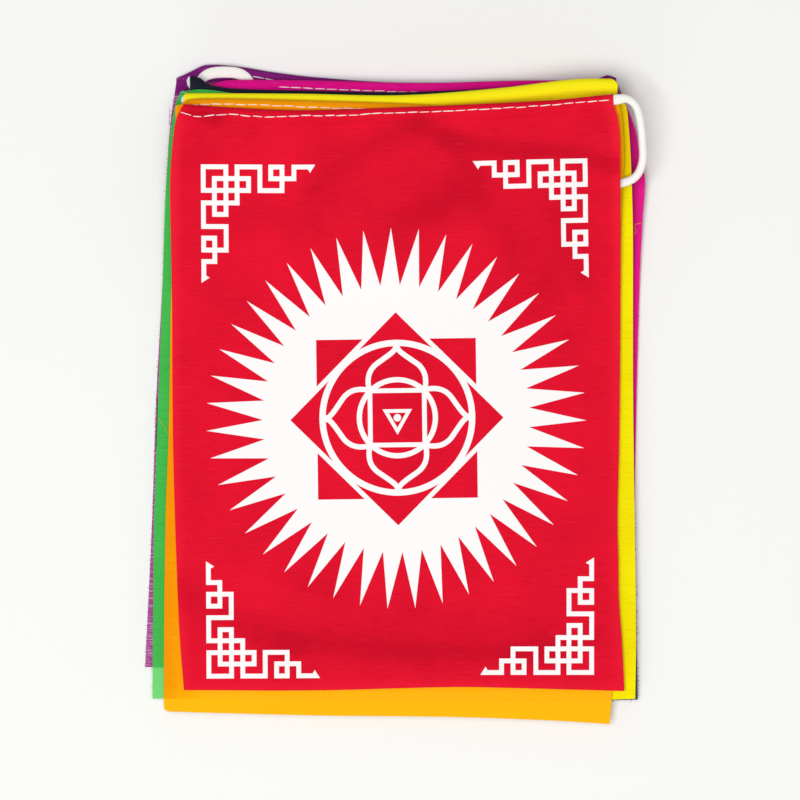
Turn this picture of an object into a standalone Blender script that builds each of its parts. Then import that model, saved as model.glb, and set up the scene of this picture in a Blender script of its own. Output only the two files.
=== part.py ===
"""A string of seven prayer flags, folded up flag over flag and lying face up on a table.

Every flag is one sheet of cotton. Its top edge is folded over the string and comes back as a
narrow flap, so the casing is part of its cloth. The string runs through all seven casings, turns
back at each end of the stack, and leaves a free tail at each end: the first makes a loop beside
the red flag and slips in under it, the second doubles back over the purple casing and slips in
under the magenta flag.

The frame: +X is right and +Y is up the flags, towards their casings, as seen from above with the
red flag on top. +Z is up, and the origin is on the table under the middle of the stack. The tables
are in millimetres.
"""

import math
from collections import namedtuple

import bmesh
import bpy

MM = 0.001

# The cloth and the string
CLOTH = 1.0
CLEARANCE = 0.3
CORD_IN_CASING = 0.7
CORD_UNDER_CLOTH = 0.8
CORD_FREE = 1.5
CORD_AT_TURN = 0.8

# The stack
LAYER_PITCH = 1.4
TUBE_RADIUS = CORD_IN_CASING + CLEARANCE + CLOTH / 2
TUBE_STRAIGHT = 1.2
CASING_PITCH = 2 * TUBE_RADIUS + CLOTH + CLEARANCE
TAIL_ROOM = 2 * CORD_IN_CASING + CLEARANCE
SHELF_DEPTH = 7.6
FALL_LENGTH = 64.0
CORD_DEPTH = CLOTH / 2 + TUBE_RADIUS + TUBE_STRAIGHT / 2

# How a casing is drawn: stations from the sheet, over the string and back to the flap's end
TUBE_STEPS = 5
FLAP_END = 6.2
Neck = namedtuple("Neck", "depth rise")
NECK = (
    Neck(7.1, 0.0),
    Neck(6.0, 0.1),
    Neck(5.1, 0.5),
    Neck(4.3, 1.1),
)

# The grid across a flag, closer at its ends, where the casings bend most
ACROSS = (0.0, 0.04, 0.10, 0.18, 0.29, 0.42, 0.56, 0.70, 0.83, 0.93, 1.0)
FINE_COLUMNS = 22
FALL_ROWS = 7
FLAT_ROWS = 5
FINE_FLAT_ROWS = 19

# Unevenness that every layer shares, more of it the higher a layer lies
WAVE_HEIGHT = 0.9
WAVE_LENGTH_X = 31.0
WAVE_LENGTH_Y = 43.0

# The ridge that the hidden tail makes in the red flag, and two soft folds near its lower edge
TAIL_RIDGE = 2.9
TAIL_RIDGE_WIDTH = 8.5
RIDGE_START = 14.0
Crease = namedtuple("Crease", "y left right height width")
CREASES = (
    Crease(-80.5, -25.0, 66.0, 0.8, 5.5),
    Crease(-95.0, -30.0, 62.0, 0.7, 5.5),
)

# A flag's sides: how far left and right its cloth reaches at a height y up the flag
Side = namedtuple("Side", "y left right")
# A line across a flag: its fold over the string, or its lower edge
Rim = namedtuple("Rim", "x y")
Flag = namedtuple("Flag", "name level face_up colour sides fold hem")

FLAGS = (
    Flag(
        "flag_purple", 0, True, (0.20, 0.03, 0.24),
        (
            Side(109.9, -75.5, 75.1),
            Side(103.6, -76.5, 75.8),
            Side(94.7, -77.7, 76.2),
            Side(84.3, -78.8, 75.8),
            Side(53.2, -80.0, 74.1),
            Side(-2.1, -82.6, 72.1),
            Side(-43.6, -83.8, 70.7),
            Side(-94.5, -86.2, 68.6),
        ),
        (
            Rim(-75.5, 109.5),
            Rim(-65.0, 113.6),
            Rim(-53.0, 113.0),
            Rim(-43.4, 111.4),
            Rim(-27.8, 109.5),
            Rim(5.0, 107.5),
            Rim(38.0, 108.2),
            Rim(76.0, 109.2),
        ),
        (Rim(-86.2, -94.4), Rim(68.6, -94.7)),
    ),
    Flag(
        "flag_magenta", 1, False, (0.62, 0.0, 0.30),
        (
            Side(105.5, -67.0, 77.4),
            Side(99.9, -68.1, 79.6),
            Side(91.0, -69.4, 83.0),
            Side(78.9, -70.1, 85.0),
            Side(74.5, -70.2, 86.4),
            Side(60.0, -70.6, 85.6),
            Side(39.4, -71.0, 84.7),
            Side(-2.1, -71.7, 83.6),
            Side(-103.6, -73.1, 81.7),
        ),
        (
            Rim(-67.0, 108.2),
            Rim(-32.0, 108.2),
            Rim(10.0, 107.3),
            Rim(45.0, 108.1),
            Rim(77.4, 108.2),
        ),
        (Rim(-73.1, -103.6), Rim(81.7, -103.6)),
    ),
    Flag(
        "flag_navy", 2, True, (0.010, 0.014, 0.035),
        (
            Side(104.6, -70.3, 76.6),
            Side(94.3, -71.4, 79.0),
            Side(80.5, -71.7, 80.7),
            Side(53.1, -72.3, 81.6),
            Side(-2.1, -72.0, 82.0),
            Side(-57.3, -71.3, 83.0),
            Side(-106.0, -70.4, 84.0),
        ),
        (
            Rim(-70.3, 108.0),
            Rim(-56.0, 105.6),
            Rim(-32.0, 104.6),
            Rim(2.0, 103.9),
            Rim(43.0, 105.6),
            Rim(76.6, 107.0),
        ),
        (Rim(-70.6, -105.0), Rim(84.1, -106.0)),
    ),
    Flag(
        "flag_green", 3, False, (0.0, 0.30, 0.05),
        (
            Side(102.7, -75.6, 76.4),
            Side(94.1, -76.6, 76.4),
            Side(80.4, -78.2, 75.1),
            Side(66.7, -79.3, 74.5),
            Side(39.3, -80.4, 73.7),
            Side(-15.9, -82.3, 72.0),
            Side(-43.5, -83.0, 71.3),
            Side(-104.9, -83.5, 70.6),
        ),
        (
            Rim(-75.0, 103.7),
            Rim(-66.0, 104.7),
            Rim(-50.0, 102.8),
            Rim(2.0, 101.7),
            Rim(43.0, 103.7),
            Rim(76.4, 105.8),
        ),
        (Rim(-83.5, -105.1), Rim(70.6, -104.6)),
    ),
    Flag(
        "flag_yellow", 4, True, (0.90, 0.72, 0.0),
        (
            Side(104.2, -72.2, 76.3),
            Side(98.7, -72.8, 79.4),
            Side(93.9, -73.2, 80.1),
            Side(80.3, -73.6, 81.1),
            Side(53.0, -73.5, 82.1),
            Side(-2.1, -73.3, 82.3),
            Side(-84.8, -72.6, 83.3),
            Side(-105.2, -72.3, 83.0),
        ),
        (
            Rim(-72.2, 103.2),
            Rim(-32.0, 103.0),
            Rim(2.0, 102.5),
            Rim(36.0, 104.9),
            Rim(62.0, 108.0),
            Rim(76.3, 108.2),
        ),
        (Rim(-72.3, -104.5), Rim(83.0, -105.6)),
    ),
    Flag(
        "flag_orange", 5, False, (0.95, 0.36, 0.0),
        (
            Side(100.6, -73.1, 76.2),
            Side(97.2, -74.8, 77.5),
            Side(86.9, -76.1, 78.2),
            Side(80.1, -76.9, 79.0),
            Side(66.6, -77.4, 78.6),
            Side(25.5, -77.4, 78.1),
            Side(-15.9, -77.9, 77.4),
            Side(-43.4, -78.9, 76.7),
            Side(-105.5, -79.5, 75.1),
            Side(-112.4, -79.0, 74.5),
        ),
        (
            Rim(-73.1, 100.9),
            Rim(-60.0, 101.5),
            Rim(-15.0, 101.2),
            Rim(10.0, 99.9),
            Rim(43.0, 101.0),
            Rim(76.2, 102.7),
        ),
        (
            Rim(-79.5, -109.4),
            Rim(-25.7, -110.8),
            Rim(19.1, -111.3),
            Rim(53.6, -112.5),
            Rim(75.0, -113.8),
        ),
    ),
    Flag(
        "flag_red", 6, True, (0.75, 0.0, 0.02),
        (
            Side(99.1, -71.9, 74.7),
            Side(93.6, -74.6, 76.4),
            Side(86.8, -75.7, 77.1),
            Side(73.2, -76.8, 77.2),
            Side(25.5, -76.6, 77.5),
            Side(-15.9, -76.3, 77.2),
            Side(-43.4, -75.6, 76.8),
            Side(-71.0, -74.6, 76.9),
            Side(-84.8, -73.9, 78.0),
            Side(-102.3, -72.5, 79.1),
        ),
        (
            Rim(-71.9, 99.1),
            Rim(-55.0, 97.9),
            Rim(-32.0, 97.0),
            Rim(2.0, 98.0),
            Rim(53.0, 100.4),
            Rim(74.6, 102.5),
        ),
        (
            Rim(-72.5, -102.0),
            Rim(-25.7, -102.0),
            Rim(19.1, -100.9),
            Rim(36.4, -101.1),
            Rim(79.1, -102.3),
        ),
    ),
)

# The string's route: each tail from above, and the loop between the first tail and its casing
Spot = namedtuple("Spot", "x y")
TAIL_ONE_UNDER_RED = (
    Spot(63.6, 31.5),
    Spot(54.0, 44.0),
    Spot(36.0, 52.0),
    Spot(2.0, 56.9),
    Spot(-24.5, 62.0),
    Spot(-30.7, 72.0),
    Spot(-18.0, 84.5),
    Spot(8.8, 90.6),
    Spot(36.2, 85.0),
    Spot(62.0, 76.0),
    Spot(77.5, 72.2),
)
Point = namedtuple("Point", "x y z")
LOOP = (
    Point(82.6, 74.4, 22.3),
    Point(85.1, 79.6, 23.2),
    Point(85.2, 87.0, 25.0),
    Point(84.5, 94.0, 26.7),
    Point(82.8, 99.0, 28.0),
    Point(79.6, 101.0, 29.0),
)
TAIL_TWO_UNDER_MAGENTA = (
    Spot(-70.5, 110.2),
    Spot(-60.0, 111.5),
    Spot(-49.0, 109.0),
    Spot(-24.0, 98.6),
    Spot(20.0, 92.4),
    Spot(50.0, 88.5),
    Spot(59.0, 80.5),
    Spot(48.0, 73.0),
    Spot(24.0, 73.0),
    Spot(2.0, 75.0),
)
TAIL_STEP = 14.0
LOOP_STEP = 5.0
MOUTH_GAP = 0.5
SEAT_GAP = 0.5
TURN_REACH = 1.0
TAIL_TURN_SHIFT = 2.6

COLLECTION = "tibetan_prayer_flag_string"


def smooth_step(t):
    """Goes from 0 to 1 as t does, level at both ends."""
    t = min(max(t, 0.0), 1.0)
    return t * t * (3 - 2 * t)


def through(rows, at):
    """A smooth line through (key, value) rows, read at a key and held level past its ends."""
    rows = sorted(rows)
    if at <= rows[0][0]:
        return rows[0][1]
    if at >= rows[-1][0]:
        return rows[-1][1]
    i = max(n for n, row in enumerate(rows[:-1]) if row[0] <= at)
    before = rows[max(i - 1, 0)]
    (k0, v0), (k1, v1) = rows[i], rows[i + 1]
    after = rows[min(i + 2, len(rows) - 1)]
    span = k1 - k0
    slope0 = (v1 - before[1]) / (k1 - before[0])
    slope1 = (after[1] - v0) / (after[0] - k0)
    t = (at - k0) / span
    return (
        (2 * t**3 - 3 * t**2 + 1) * v0
        + (t**3 - 2 * t**2 + t) * span * slope0
        + (3 * t**2 - 2 * t**3) * v1
        + (t**3 - t**2) * span * slope1
    )


def side_at(flag, across, y):
    """The x of a flag's cloth at a height y, a fraction across from its left edge."""
    left = through([(row.y, row.left) for row in flag.sides], y)
    right = through([(row.y, row.right) for row in flag.sides], y)
    return left + across * (right - left)


def casing_height(level):
    """The height of the string in a level's casing."""
    return CLOTH / 2 + TUBE_RADIUS + CASING_PITCH * level + (TAIL_ROOM if level else 0.0)


def shelf_line(x):
    """Where the sheets leave the height of their casings: just past the lowest casing's flap."""
    return through(FLAGS[-1].fold, x) - SHELF_DEPTH


def wave(x, y):
    """The unevenness of the top layer, from 0 up."""
    return WAVE_HEIGHT * (0.5 + 0.5 * math.sin(x / WAVE_LENGTH_X + 1.3) * math.cos(y / WAVE_LENGTH_Y + 0.4))


def distance_to_route(route, x, y):
    """How far a point lies, seen from above, from a route's straight stretches."""
    nearest = math.inf
    for a, b in zip(route, route[1:]):
        run_x, run_y = b.x - a.x, b.y - a.y
        t = ((x - a.x) * run_x + (y - a.y) * run_y) / (run_x**2 + run_y**2)
        t = min(max(t, 0.0), 1.0)
        nearest = min(nearest, math.hypot(x - a.x - t * run_x, y - a.y - t * run_y))
    return nearest


def red_folds(x, y):
    """What lifts the red flag off the orange one: the hidden tail, and two soft creases."""
    away = distance_to_route(TAIL_ONE_UNDER_RED + (LOOP[0],), x, y)
    rise = TAIL_RIDGE * math.exp(-((away / TAIL_RIDGE_WIDTH) ** 2))
    for crease in CREASES:
        past_end = max(crease.left - x, x - crease.right, 0.0)
        away = math.hypot(y - crease.y, past_end / 2)
        rise += crease.height * math.exp(-((away / crease.width) ** 2))
    return rise


def sheet_height(level, x, y):
    """The height of the middle of a level's sheet."""
    rest = CLOTH / 2 + LAYER_PITCH * level
    head = casing_height(level)
    fallen = smooth_step((shelf_line(x) - y) / FALL_LENGTH)
    z = head + (rest - head) * fallen
    z += wave(x, y) * fallen * level / FLAGS[-1].level
    if level == FLAGS[-1].level:
        z += red_folds(x, y) * smooth_step((shelf_line(x) - y) / RIDGE_START)
    return z


def casing_section(face_up):
    """A casing's section from the sheet round the string to the flap: depths and rises."""
    side = 1 if face_up else -1
    rows = [(row.depth, side * row.rise) for row in NECK]
    rows.append((CLOTH / 2 + TUBE_RADIUS + TUBE_STRAIGHT, side * TUBE_RADIUS))
    for step in range(TUBE_STEPS + 1):
        turn = math.pi * step / TUBE_STEPS
        depth = CLOTH / 2 + TUBE_RADIUS * (1 - math.sin(turn))
        rows.append((depth, side * TUBE_RADIUS * math.cos(turn)))
    rows.append((CLOTH / 2 + TUBE_RADIUS + TUBE_STRAIGHT, -side * TUBE_RADIUS))
    rows.append((FLAP_END, -side * TUBE_RADIUS))
    return rows


def sheet_rows(flag, across, flat_rows):
    """The heights y down one column of the sheet, from its lower edge up to its casing's neck."""
    x = side_at(flag, across, flag.hem[0].y)
    hem = through(flag.hem, x)
    fold_x = side_at(flag, across, flag.fold[0].y)
    shelf = shelf_line(fold_x)
    level_ground = shelf - FALL_LENGTH
    rows = [hem + (level_ground - hem) * n / flat_rows for n in range(flat_rows)]
    rows += [level_ground + FALL_LENGTH * n / FALL_ROWS for n in range(FALL_ROWS + 1)]
    return rows


def flag_points(flag, columns, flat_rows):
    """The middle surface of a flag as columns of points, in metres."""
    section = casing_section(flag.face_up)
    grid = []
    for across in columns:
        column = []
        for y in sheet_rows(flag, across, flat_rows):
            x = side_at(flag, across, y)
            column.append((x, y, sheet_height(flag.level, x, y)))
        fold = through(flag.fold, side_at(flag, across, flag.fold[0].y))
        for depth, rise in section:
            y = fold - depth
            column.append((side_at(flag, across, y), y, casing_height(flag.level) + rise))
        grid.append([tuple(value * MM for value in point) for point in column])
    return grid


def material(name, colour, roughness):
    """A plain Principled material."""
    made = bpy.data.materials.new(name)
    made.use_nodes = True
    shader = made.node_tree.nodes["Principled BSDF"]
    shader.inputs["Base Color"].default_value = (*colour, 1.0)
    shader.inputs["Roughness"].default_value = roughness
    shader.inputs["Metallic"].default_value = 0.0
    return made


def add_object(name, data, colour, roughness):
    """Puts a new object in the flag string's collection, with a material of its own."""
    made = bpy.data.objects.new(name, data)
    bpy.data.collections[COLLECTION].objects.link(made)
    data.materials.append(material(name, colour, roughness))
    return made


def build_flag(flag):
    """One flag: a grid drawn into the shape of its sheet, casing and flap, then given thickness."""
    fine = flag.level == FLAGS[-1].level
    columns = [n / FINE_COLUMNS for n in range(FINE_COLUMNS + 1)] if fine else ACROSS
    points = flag_points(flag, columns, FINE_FLAT_ROWS if fine else FLAT_ROWS)
    rows = len(points[0])
    mesh = bpy.data.meshes.new(flag.name)
    bm = bmesh.new()
    bmesh.ops.create_grid(bm, x_segments=len(columns) - 1, y_segments=rows - 1, size=1.0)
    corners = sorted(bm.verts, key=lambda v: (round(v.co.x, 4), round(v.co.y, 4)))
    for index, vert in enumerate(corners):
        vert.co = points[index // rows][index % rows]
    bmesh.ops.recalc_face_normals(bm, faces=bm.faces)
    bm.to_mesh(mesh)
    bm.free()
    made = add_object(flag.name, mesh, flag.colour, 0.9)
    thick = made.modifiers.new("Cloth", "SOLIDIFY")
    thick.thickness = CLOTH * MM
    thick.offset = 0.0
    thick.use_even_offset = True
    mesh.shade_smooth()
    mesh.set_sharp_from_angle(angle=math.radians(50))
    return made


def casing_mouth(flag, left):
    """The x just outside a casing's open end, past the cloth all round it."""
    y = flag.fold[0 if left else -1].y
    ends = [side_at(flag, 0.0 if left else 1.0, y - depth) for depth in (0.0, CORD_DEPTH, 2 * CORD_DEPTH)]
    return min(ends) - MOUTH_GAP if left else max(ends) + MOUTH_GAP


def casing_route(flag):
    """The string's points through a casing, left to right, from mouth to mouth."""
    height = casing_height(flag.level)
    rows = []
    for across in ACROSS if flag.level == 0 else ACROSS[::2]:
        x = side_at(flag, across, flag.fold[0].y)
        rows.append((x, through(flag.fold, x) - CORD_DEPTH, height, CORD_IN_CASING))
    rows[0] = (casing_mouth(flag, True), *rows[0][1:])
    rows[-1] = (casing_mouth(flag, False), *rows[-1][1:])
    return rows


def turn(above, below, left):
    """The string's points where it leaves one casing and comes back into the next one down."""
    end = 0 if left else -1
    mouths = (casing_mouth(above, left), casing_mouth(below, left))
    x = min(mouths) - TURN_REACH if left else max(mouths) + TURN_REACH
    y0, y1 = above.fold[end].y - CORD_DEPTH, below.fold[end].y - CORD_DEPTH
    z0, z1 = casing_height(above.level), casing_height(below.level)
    return [(x, y0 + (y1 - y0) * part, z0 + (z1 - z0) * part, CORD_AT_TURN) for part in (0.25, 0.75)]


def spaced(rows, step, before=None, after=None):
    """Points about a step apart on a smooth curve through rows, up to the last row's own."""
    line = [before or rows[0], *rows, after or rows[-1]]
    points = []
    for a, b, c, d in zip(line, line[1:], line[2:], line[3:]):
        pieces = max(1, round(math.dist(b, c) / step))
        for n in range(pieces):
            t = n / pieces
            points.append(
                tuple(
                    q + 0.5 * t * (r - p + t * (2 * p - 5 * q + 4 * r - s + t * (3 * (q - r) + s - p)))
                    for p, q, r, s in zip(a, b, c, d)
                )
            )
    return points + [tuple(rows[-1])]


def lay_tail_one():
    """The first tail, from its hidden end between the orange and red flags to its casing."""
    red = FLAGS[-1]
    mouth = (casing_mouth(red, False), red.fold[-1].y - CORD_DEPTH, casing_height(red.level))
    rows = []
    for x, y in spaced(TAIL_ONE_UNDER_RED, TAIL_STEP, after=LOOP[0][:2]):
        under = sheet_height(red.level - 1, x, y)
        rows.append((x, y, under + CLOTH / 2 + SEAT_GAP + CORD_UNDER_CLOTH, CORD_UNDER_CLOTH))
    free = spaced([rows[-1][:3], *LOOP, mouth], LOOP_STEP, before=rows[-2][:3])
    return rows + [(*point, CORD_FREE) for point in free[1:-1]]


def lay_tail_two():
    """The second tail, from the purple casing's left mouth over it and in under the magenta flag."""
    purple = FLAGS[0]
    height = casing_height(0)
    over = height + TUBE_RADIUS + CLOTH / 2 + CLEARANCE + CORD_IN_CASING
    turn_x = casing_mouth(purple, True) - TURN_REACH
    turn_y = purple.fold[0].y - CORD_DEPTH
    rows = []
    for part in (0.25, 0.85):
        y = turn_y + TAIL_TURN_SHIFT * part
        rows.append((turn_x, y, height + (over - height) * part, CORD_IN_CASING))
    for x, y in spaced(TAIL_TWO_UNDER_MAGENTA, TAIL_STEP, before=rows[-1][:2]):
        middle = (sheet_height(0, x, y) + sheet_height(1, x, y)) / 2
        rows.append((x, y, min(over, middle), CORD_IN_CASING))
    return rows


def route_rows():
    """The whole string from end to end: x, y, height and radius, in millimetres."""
    rows = lay_tail_one()
    to_left = True
    for above, below in zip(FLAGS[::-1], FLAGS[-2::-1]):
        inside = casing_route(above)
        rows += inside[::-1] if to_left else inside
        rows += turn(above, below, to_left)
        to_left = not to_left
    return rows + casing_route(FLAGS[0])[::-1] + lay_tail_two()


def build_cord():
    """The string: a round tube along its whole route, thinner where a casing holds it flat."""
    rows = route_rows()
    curve = bpy.data.curves.new("cord", "CURVE")
    curve.dimensions = "3D"
    curve.bevel_depth = CORD_IN_CASING * MM
    curve.bevel_resolution = 2
    curve.use_fill_caps = True
    curve.twist_mode = "MINIMUM"
    spline = curve.splines.new("POLY")
    spline.points.add(len(rows) - 1)
    for point, (x, y, z, radius) in zip(spline.points, rows):
        point.co = (x * MM, y * MM, z * MM, 1.0)
        point.radius = radius / CORD_IN_CASING
    spline.use_smooth = True
    return add_object("cord", curve, (0.86, 0.85, 0.82), 0.95)


def main():
    """Builds the flags from the bottom of the stack up, and the string through them."""
    for old in list(bpy.data.objects):
        bpy.data.objects.remove(old, do_unlink=True)
    group = bpy.data.collections.new(COLLECTION)
    bpy.context.scene.collection.children.link(group)
    for flag in FLAGS:
        build_flag(flag)
    build_cord()


main()
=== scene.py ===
"""The looks of a string of seven prayer flags, folded up flag over flag on a pale table.

Every flag is a thin cotton sheet laid on its solid's folds: its shape comes from the same short
tables as the solid's, in millimetres, with +X right, +Y up the flags and +Z up off the table.
"""

import logging
import math
import random
from collections.abc import Sequence
from dataclasses import dataclass, field
from enum import Enum

import bmesh
import bpy
import numpy as np
from mathutils import Euler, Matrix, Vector

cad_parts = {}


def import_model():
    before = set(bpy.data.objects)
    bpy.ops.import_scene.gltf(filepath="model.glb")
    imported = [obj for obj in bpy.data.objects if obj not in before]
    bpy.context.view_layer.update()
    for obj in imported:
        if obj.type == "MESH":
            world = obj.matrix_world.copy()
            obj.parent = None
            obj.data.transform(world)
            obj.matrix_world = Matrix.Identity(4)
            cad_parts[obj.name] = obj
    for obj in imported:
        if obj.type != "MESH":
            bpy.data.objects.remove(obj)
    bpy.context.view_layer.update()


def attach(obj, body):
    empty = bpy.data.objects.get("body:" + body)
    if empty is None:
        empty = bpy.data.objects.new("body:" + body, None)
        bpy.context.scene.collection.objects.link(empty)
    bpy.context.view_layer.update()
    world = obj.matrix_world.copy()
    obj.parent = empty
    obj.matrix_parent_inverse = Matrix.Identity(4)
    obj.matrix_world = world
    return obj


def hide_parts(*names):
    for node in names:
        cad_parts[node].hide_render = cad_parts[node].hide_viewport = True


LOG = logging.getLogger("prayer_flags")
MM = 0.001

# The stack, as the solids have it
LAYER_PITCH = 1.4
REST_HEIGHT = 0.5
CASING_BASE = 2.0
CASING_PITCH = 4.3
TAIL_ROOM = 1.7
SHELF_DEPTH = 7.6
FALL_LENGTH = 64.0
CORD_DEPTH = 2.6
TUBE_CENTRES = (2.0, 3.2)
WAVE_HEIGHT = 0.9
WAVE_LENGTH_X = 31.0
WAVE_LENGTH_Y = 43.0

# The cloth
CLOTH = 0.42
TUBE_RADIUS = 1.74
FLAP_END = 6.2
UV_TILE = 250.0
FLAT_WIDTH = 0.154
THREAD_PITCH = 0.5
STITCH_PITCH = 4.1
STITCH_LENGTH = 3.95
STITCH_WIDTH = 0.36
STITCH_REACH = 1.6
STITCH_BLUNT = 0.6

# The camera: where the photograph's frame is centred, and how wide it is at the red flag
CAMERA_X = 1.9
CAMERA_Y = -2.07
CAMERA_HEIGHT = 2500.0
FRAME_WIDTH = 275.6
RED_HEIGHT = 9.0

# How much paler the cloth is painted near its sides and hem low down, and how much paler still at
# the top. The change starts above the first y and takes the length after it.
SELVEDGE_PALE = (0.55, 0.45)
PALER_ABOVE = -20.0
PALER_OVER = 90.0

Row = tuple[float, ...]
Array = np.ndarray
Piece = bpy.types.Object
Material = bpy.types.Material
Tree = bpy.types.NodeTree


class Facing(Enum):
    """Which side of a flag's casing its sheet runs over: the top one on a flag that faces up."""

    UP = 1
    DOWN = -1


class End(Enum):
    """The two ends of a casing."""

    LEFT = 0
    RIGHT = 1


def smooth_step(t: Array | float) -> Array:
    """Goes from 0 to 1 as t does, level at both ends.

    Args:
        t: any numbers.

    Returns:
        The eased numbers, from 0 to 1.
    """
    t = np.clip(t, 0.0, 1.0)
    return t * t * (3 - 2 * t)


def through(rows: Sequence[Row], at: Array | float) -> Array:
    """A smooth line through (key, value) rows, held level past its ends.

    Args:
        rows: the line's own points.
        at: the keys to read it at.

    Returns:
        The values there.
    """
    keys, values = np.array(sorted(rows), dtype=float).T
    at = np.clip(np.asarray(at, dtype=float), keys[0], keys[-1])
    i = np.clip(np.searchsorted(keys, at, side="right") - 1, 0, len(keys) - 2)
    before, after = np.maximum(i - 1, 0), np.minimum(i + 2, len(keys) - 1)
    span = keys[i + 1] - keys[i]
    slope0 = (values[i + 1] - values[before]) / (keys[i + 1] - keys[before])
    slope1 = (values[after] - values[i]) / (keys[after] - keys[i])
    t = (at - keys[i]) / span
    return (
        (2 * t**3 - 3 * t**2 + 1) * values[i]
        + (t**3 - 2 * t**2 + t) * span * slope0
        + (3 * t**2 - 2 * t**3) * values[i + 1]
        + (t**3 - t**2) * span * slope1
    )


def spaced(
    rows: Sequence[Row], step: float, before: Row | None = None, after: Row | None = None
) -> list[Row]:
    """Points about a step apart on a smooth curve through rows.

    Args:
        rows: the curve's own points.
        step: the distance between the points, in the rows' units.
        before: what the curve comes from, ahead of the first row.
        after: what the curve goes on to, past the last row.

    Returns:
        The points, ending with the last row's own.
    """
    line = [before or rows[0], *rows, after or rows[-1]]
    points = []
    for a, b, c, d in zip(line, line[1:], line[2:], line[3:]):
        pieces = max(1, round(math.dist(b[:3], c[:3]) / step))
        for t in (n / pieces for n in range(pieces)):
            points.append(tuple(
                q + 0.5 * t * (r - p + t * (2 * p - 5 * q + 4 * r - s + t * (3 * (q - r) + s - p)))
                for p, q, r, s in zip(a, b, c, d)
            ))
    return points + [tuple(rows[-1])]


def deselect() -> None:
    """Leaves object mode with nothing selected."""
    if bpy.context.mode != "OBJECT":
        bpy.ops.object.mode_set(mode="OBJECT")
    bpy.ops.object.select_all(action="DESELECT")


def pick(obj: Piece) -> None:
    """Makes one object the only selected one, and the active one.

    Args:
        obj: the object.
    """
    deselect()
    obj.select_set(True)
    bpy.context.view_layer.objects.active = obj


def apply_all(obj: Piece) -> None:
    """Applies every modifier of an object, in order.

    Args:
        obj: the object.
    """
    pick(obj)
    for modifier in list(obj.modifiers):
        bpy.ops.object.modifier_apply(modifier=modifier.name)


def edit_all(obj: Piece) -> None:
    """Opens an object's mesh in edit mode with all of it selected.

    Args:
        obj: the object.
    """
    pick(obj)
    bpy.ops.object.mode_set(mode="EDIT")
    bpy.ops.mesh.select_all(action="SELECT")


def close_outwards() -> None:
    """Turns the edited mesh's faces outwards, and leaves edit mode."""
    bpy.ops.mesh.select_all(action="SELECT")
    bpy.ops.mesh.normals_make_consistent(inside=False)
    bpy.ops.object.mode_set(mode="OBJECT")


def settle(obj: Piece, name: str) -> Piece:
    """Puts an object's place into its mesh and names it.

    Args:
        obj: the object, placed anywhere.
        name: its new name.

    Returns:
        The same object, at the origin.
    """
    pick(obj)
    bpy.ops.object.transform_apply(location=True, rotation=True, scale=True)
    obj.name = name
    obj.data.name = name
    return obj


def join(objects: list[Piece], name: str) -> Piece:
    """Joins objects into one mesh.

    Args:
        objects: the objects, the first of which is kept.
        name: the joined piece's name.

    Returns:
        The joined object, at the origin.
    """
    pick(objects[0])
    for other in objects[1:]:
        other.select_set(True)
    if len(objects) > 1:
        bpy.ops.object.join()
    return settle(objects[0], name)


def copy_of(model: Piece, place: Vector, turn: Euler, scale: Row) -> Piece:
    """A copy of a model with its own mesh.

    Args:
        model: what is copied.
        place: where the copy lies, in metres.
        turn: how it is turned.
        scale: its scale along the model's x, y and z.

    Returns:
        The copy.
    """
    copy = model.copy()
    copy.data = model.data.copy()
    bpy.context.collection.objects.link(copy)
    copy.location, copy.rotation_euler, copy.scale = place, turn, scale
    return copy


def set_surface(piece: Piece, slot: str, material: Material | None = None) -> Piece:
    """Dresses a finished piece and lets it ride on the one body.

    Args:
        piece: the piece.
        slot: the record's material slot; not used.
        material: its material, unless it has its own already.

    Returns:
        The same piece.
    """
    if material:
        piece.data.materials.clear()
        piece.data.materials.append(material)
    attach(piece, "root")
    return piece


def linear(hex_colour: str) -> tuple[float, float, float, float]:
    """An sRGB hex colour as linear light.

    Args:
        hex_colour: six hex digits.

    Returns:
        Red, green, blue and an alpha of 1.
    """
    parts = [int(hex_colour[i : i + 2], 16) / 255 for i in (0, 2, 4)]
    return (*(c / 12.92 if c <= 0.04045 else ((c + 0.055) / 1.055) ** 2.4 for c in parts), 1.0)


def feed(tree: Tree, node: bpy.types.Node, inputs: dict) -> None:
    """Sets a node's inputs.

    Args:
        tree: the material's node tree.
        node: the node.
        inputs: each input's name or number, with a value, or the node or socket that feeds it.
    """
    for key, value in inputs.items():
        if isinstance(value, bpy.types.Node):
            value = value.outputs[0]
        if isinstance(value, bpy.types.NodeSocket):
            tree.links.new(value, node.inputs[key])
        else:
            node.inputs[key].default_value = value


def add_node(
    tree: Tree, kind: str, inputs: dict | None = None, **settings: object
) -> bpy.types.Node:
    """Adds a node with its settings and links.

    Args:
        tree: the material's node tree.
        kind: the node's type, without the prefix that all shader nodes have.
        inputs: each input's name or number, with a value, or the node or socket that feeds it.
        settings: the node's own properties.

    Returns:
        The new node.
    """
    node = tree.nodes.new(f"ShaderNode{kind}")
    for key, value in settings.items():
        setattr(node, key, value)
    feed(tree, node, inputs or {})
    return node


def new_material(name: str) -> tuple[Material, Tree, bpy.types.Node]:
    """Starts a node material.

    Args:
        name: its name.

    Returns:
        The material, its tree and its Principled shader.
    """
    material = bpy.data.materials.new(name)
    material.use_nodes = True
    tree = material.node_tree
    return material, tree, tree.nodes["Principled BSDF"]


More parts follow.
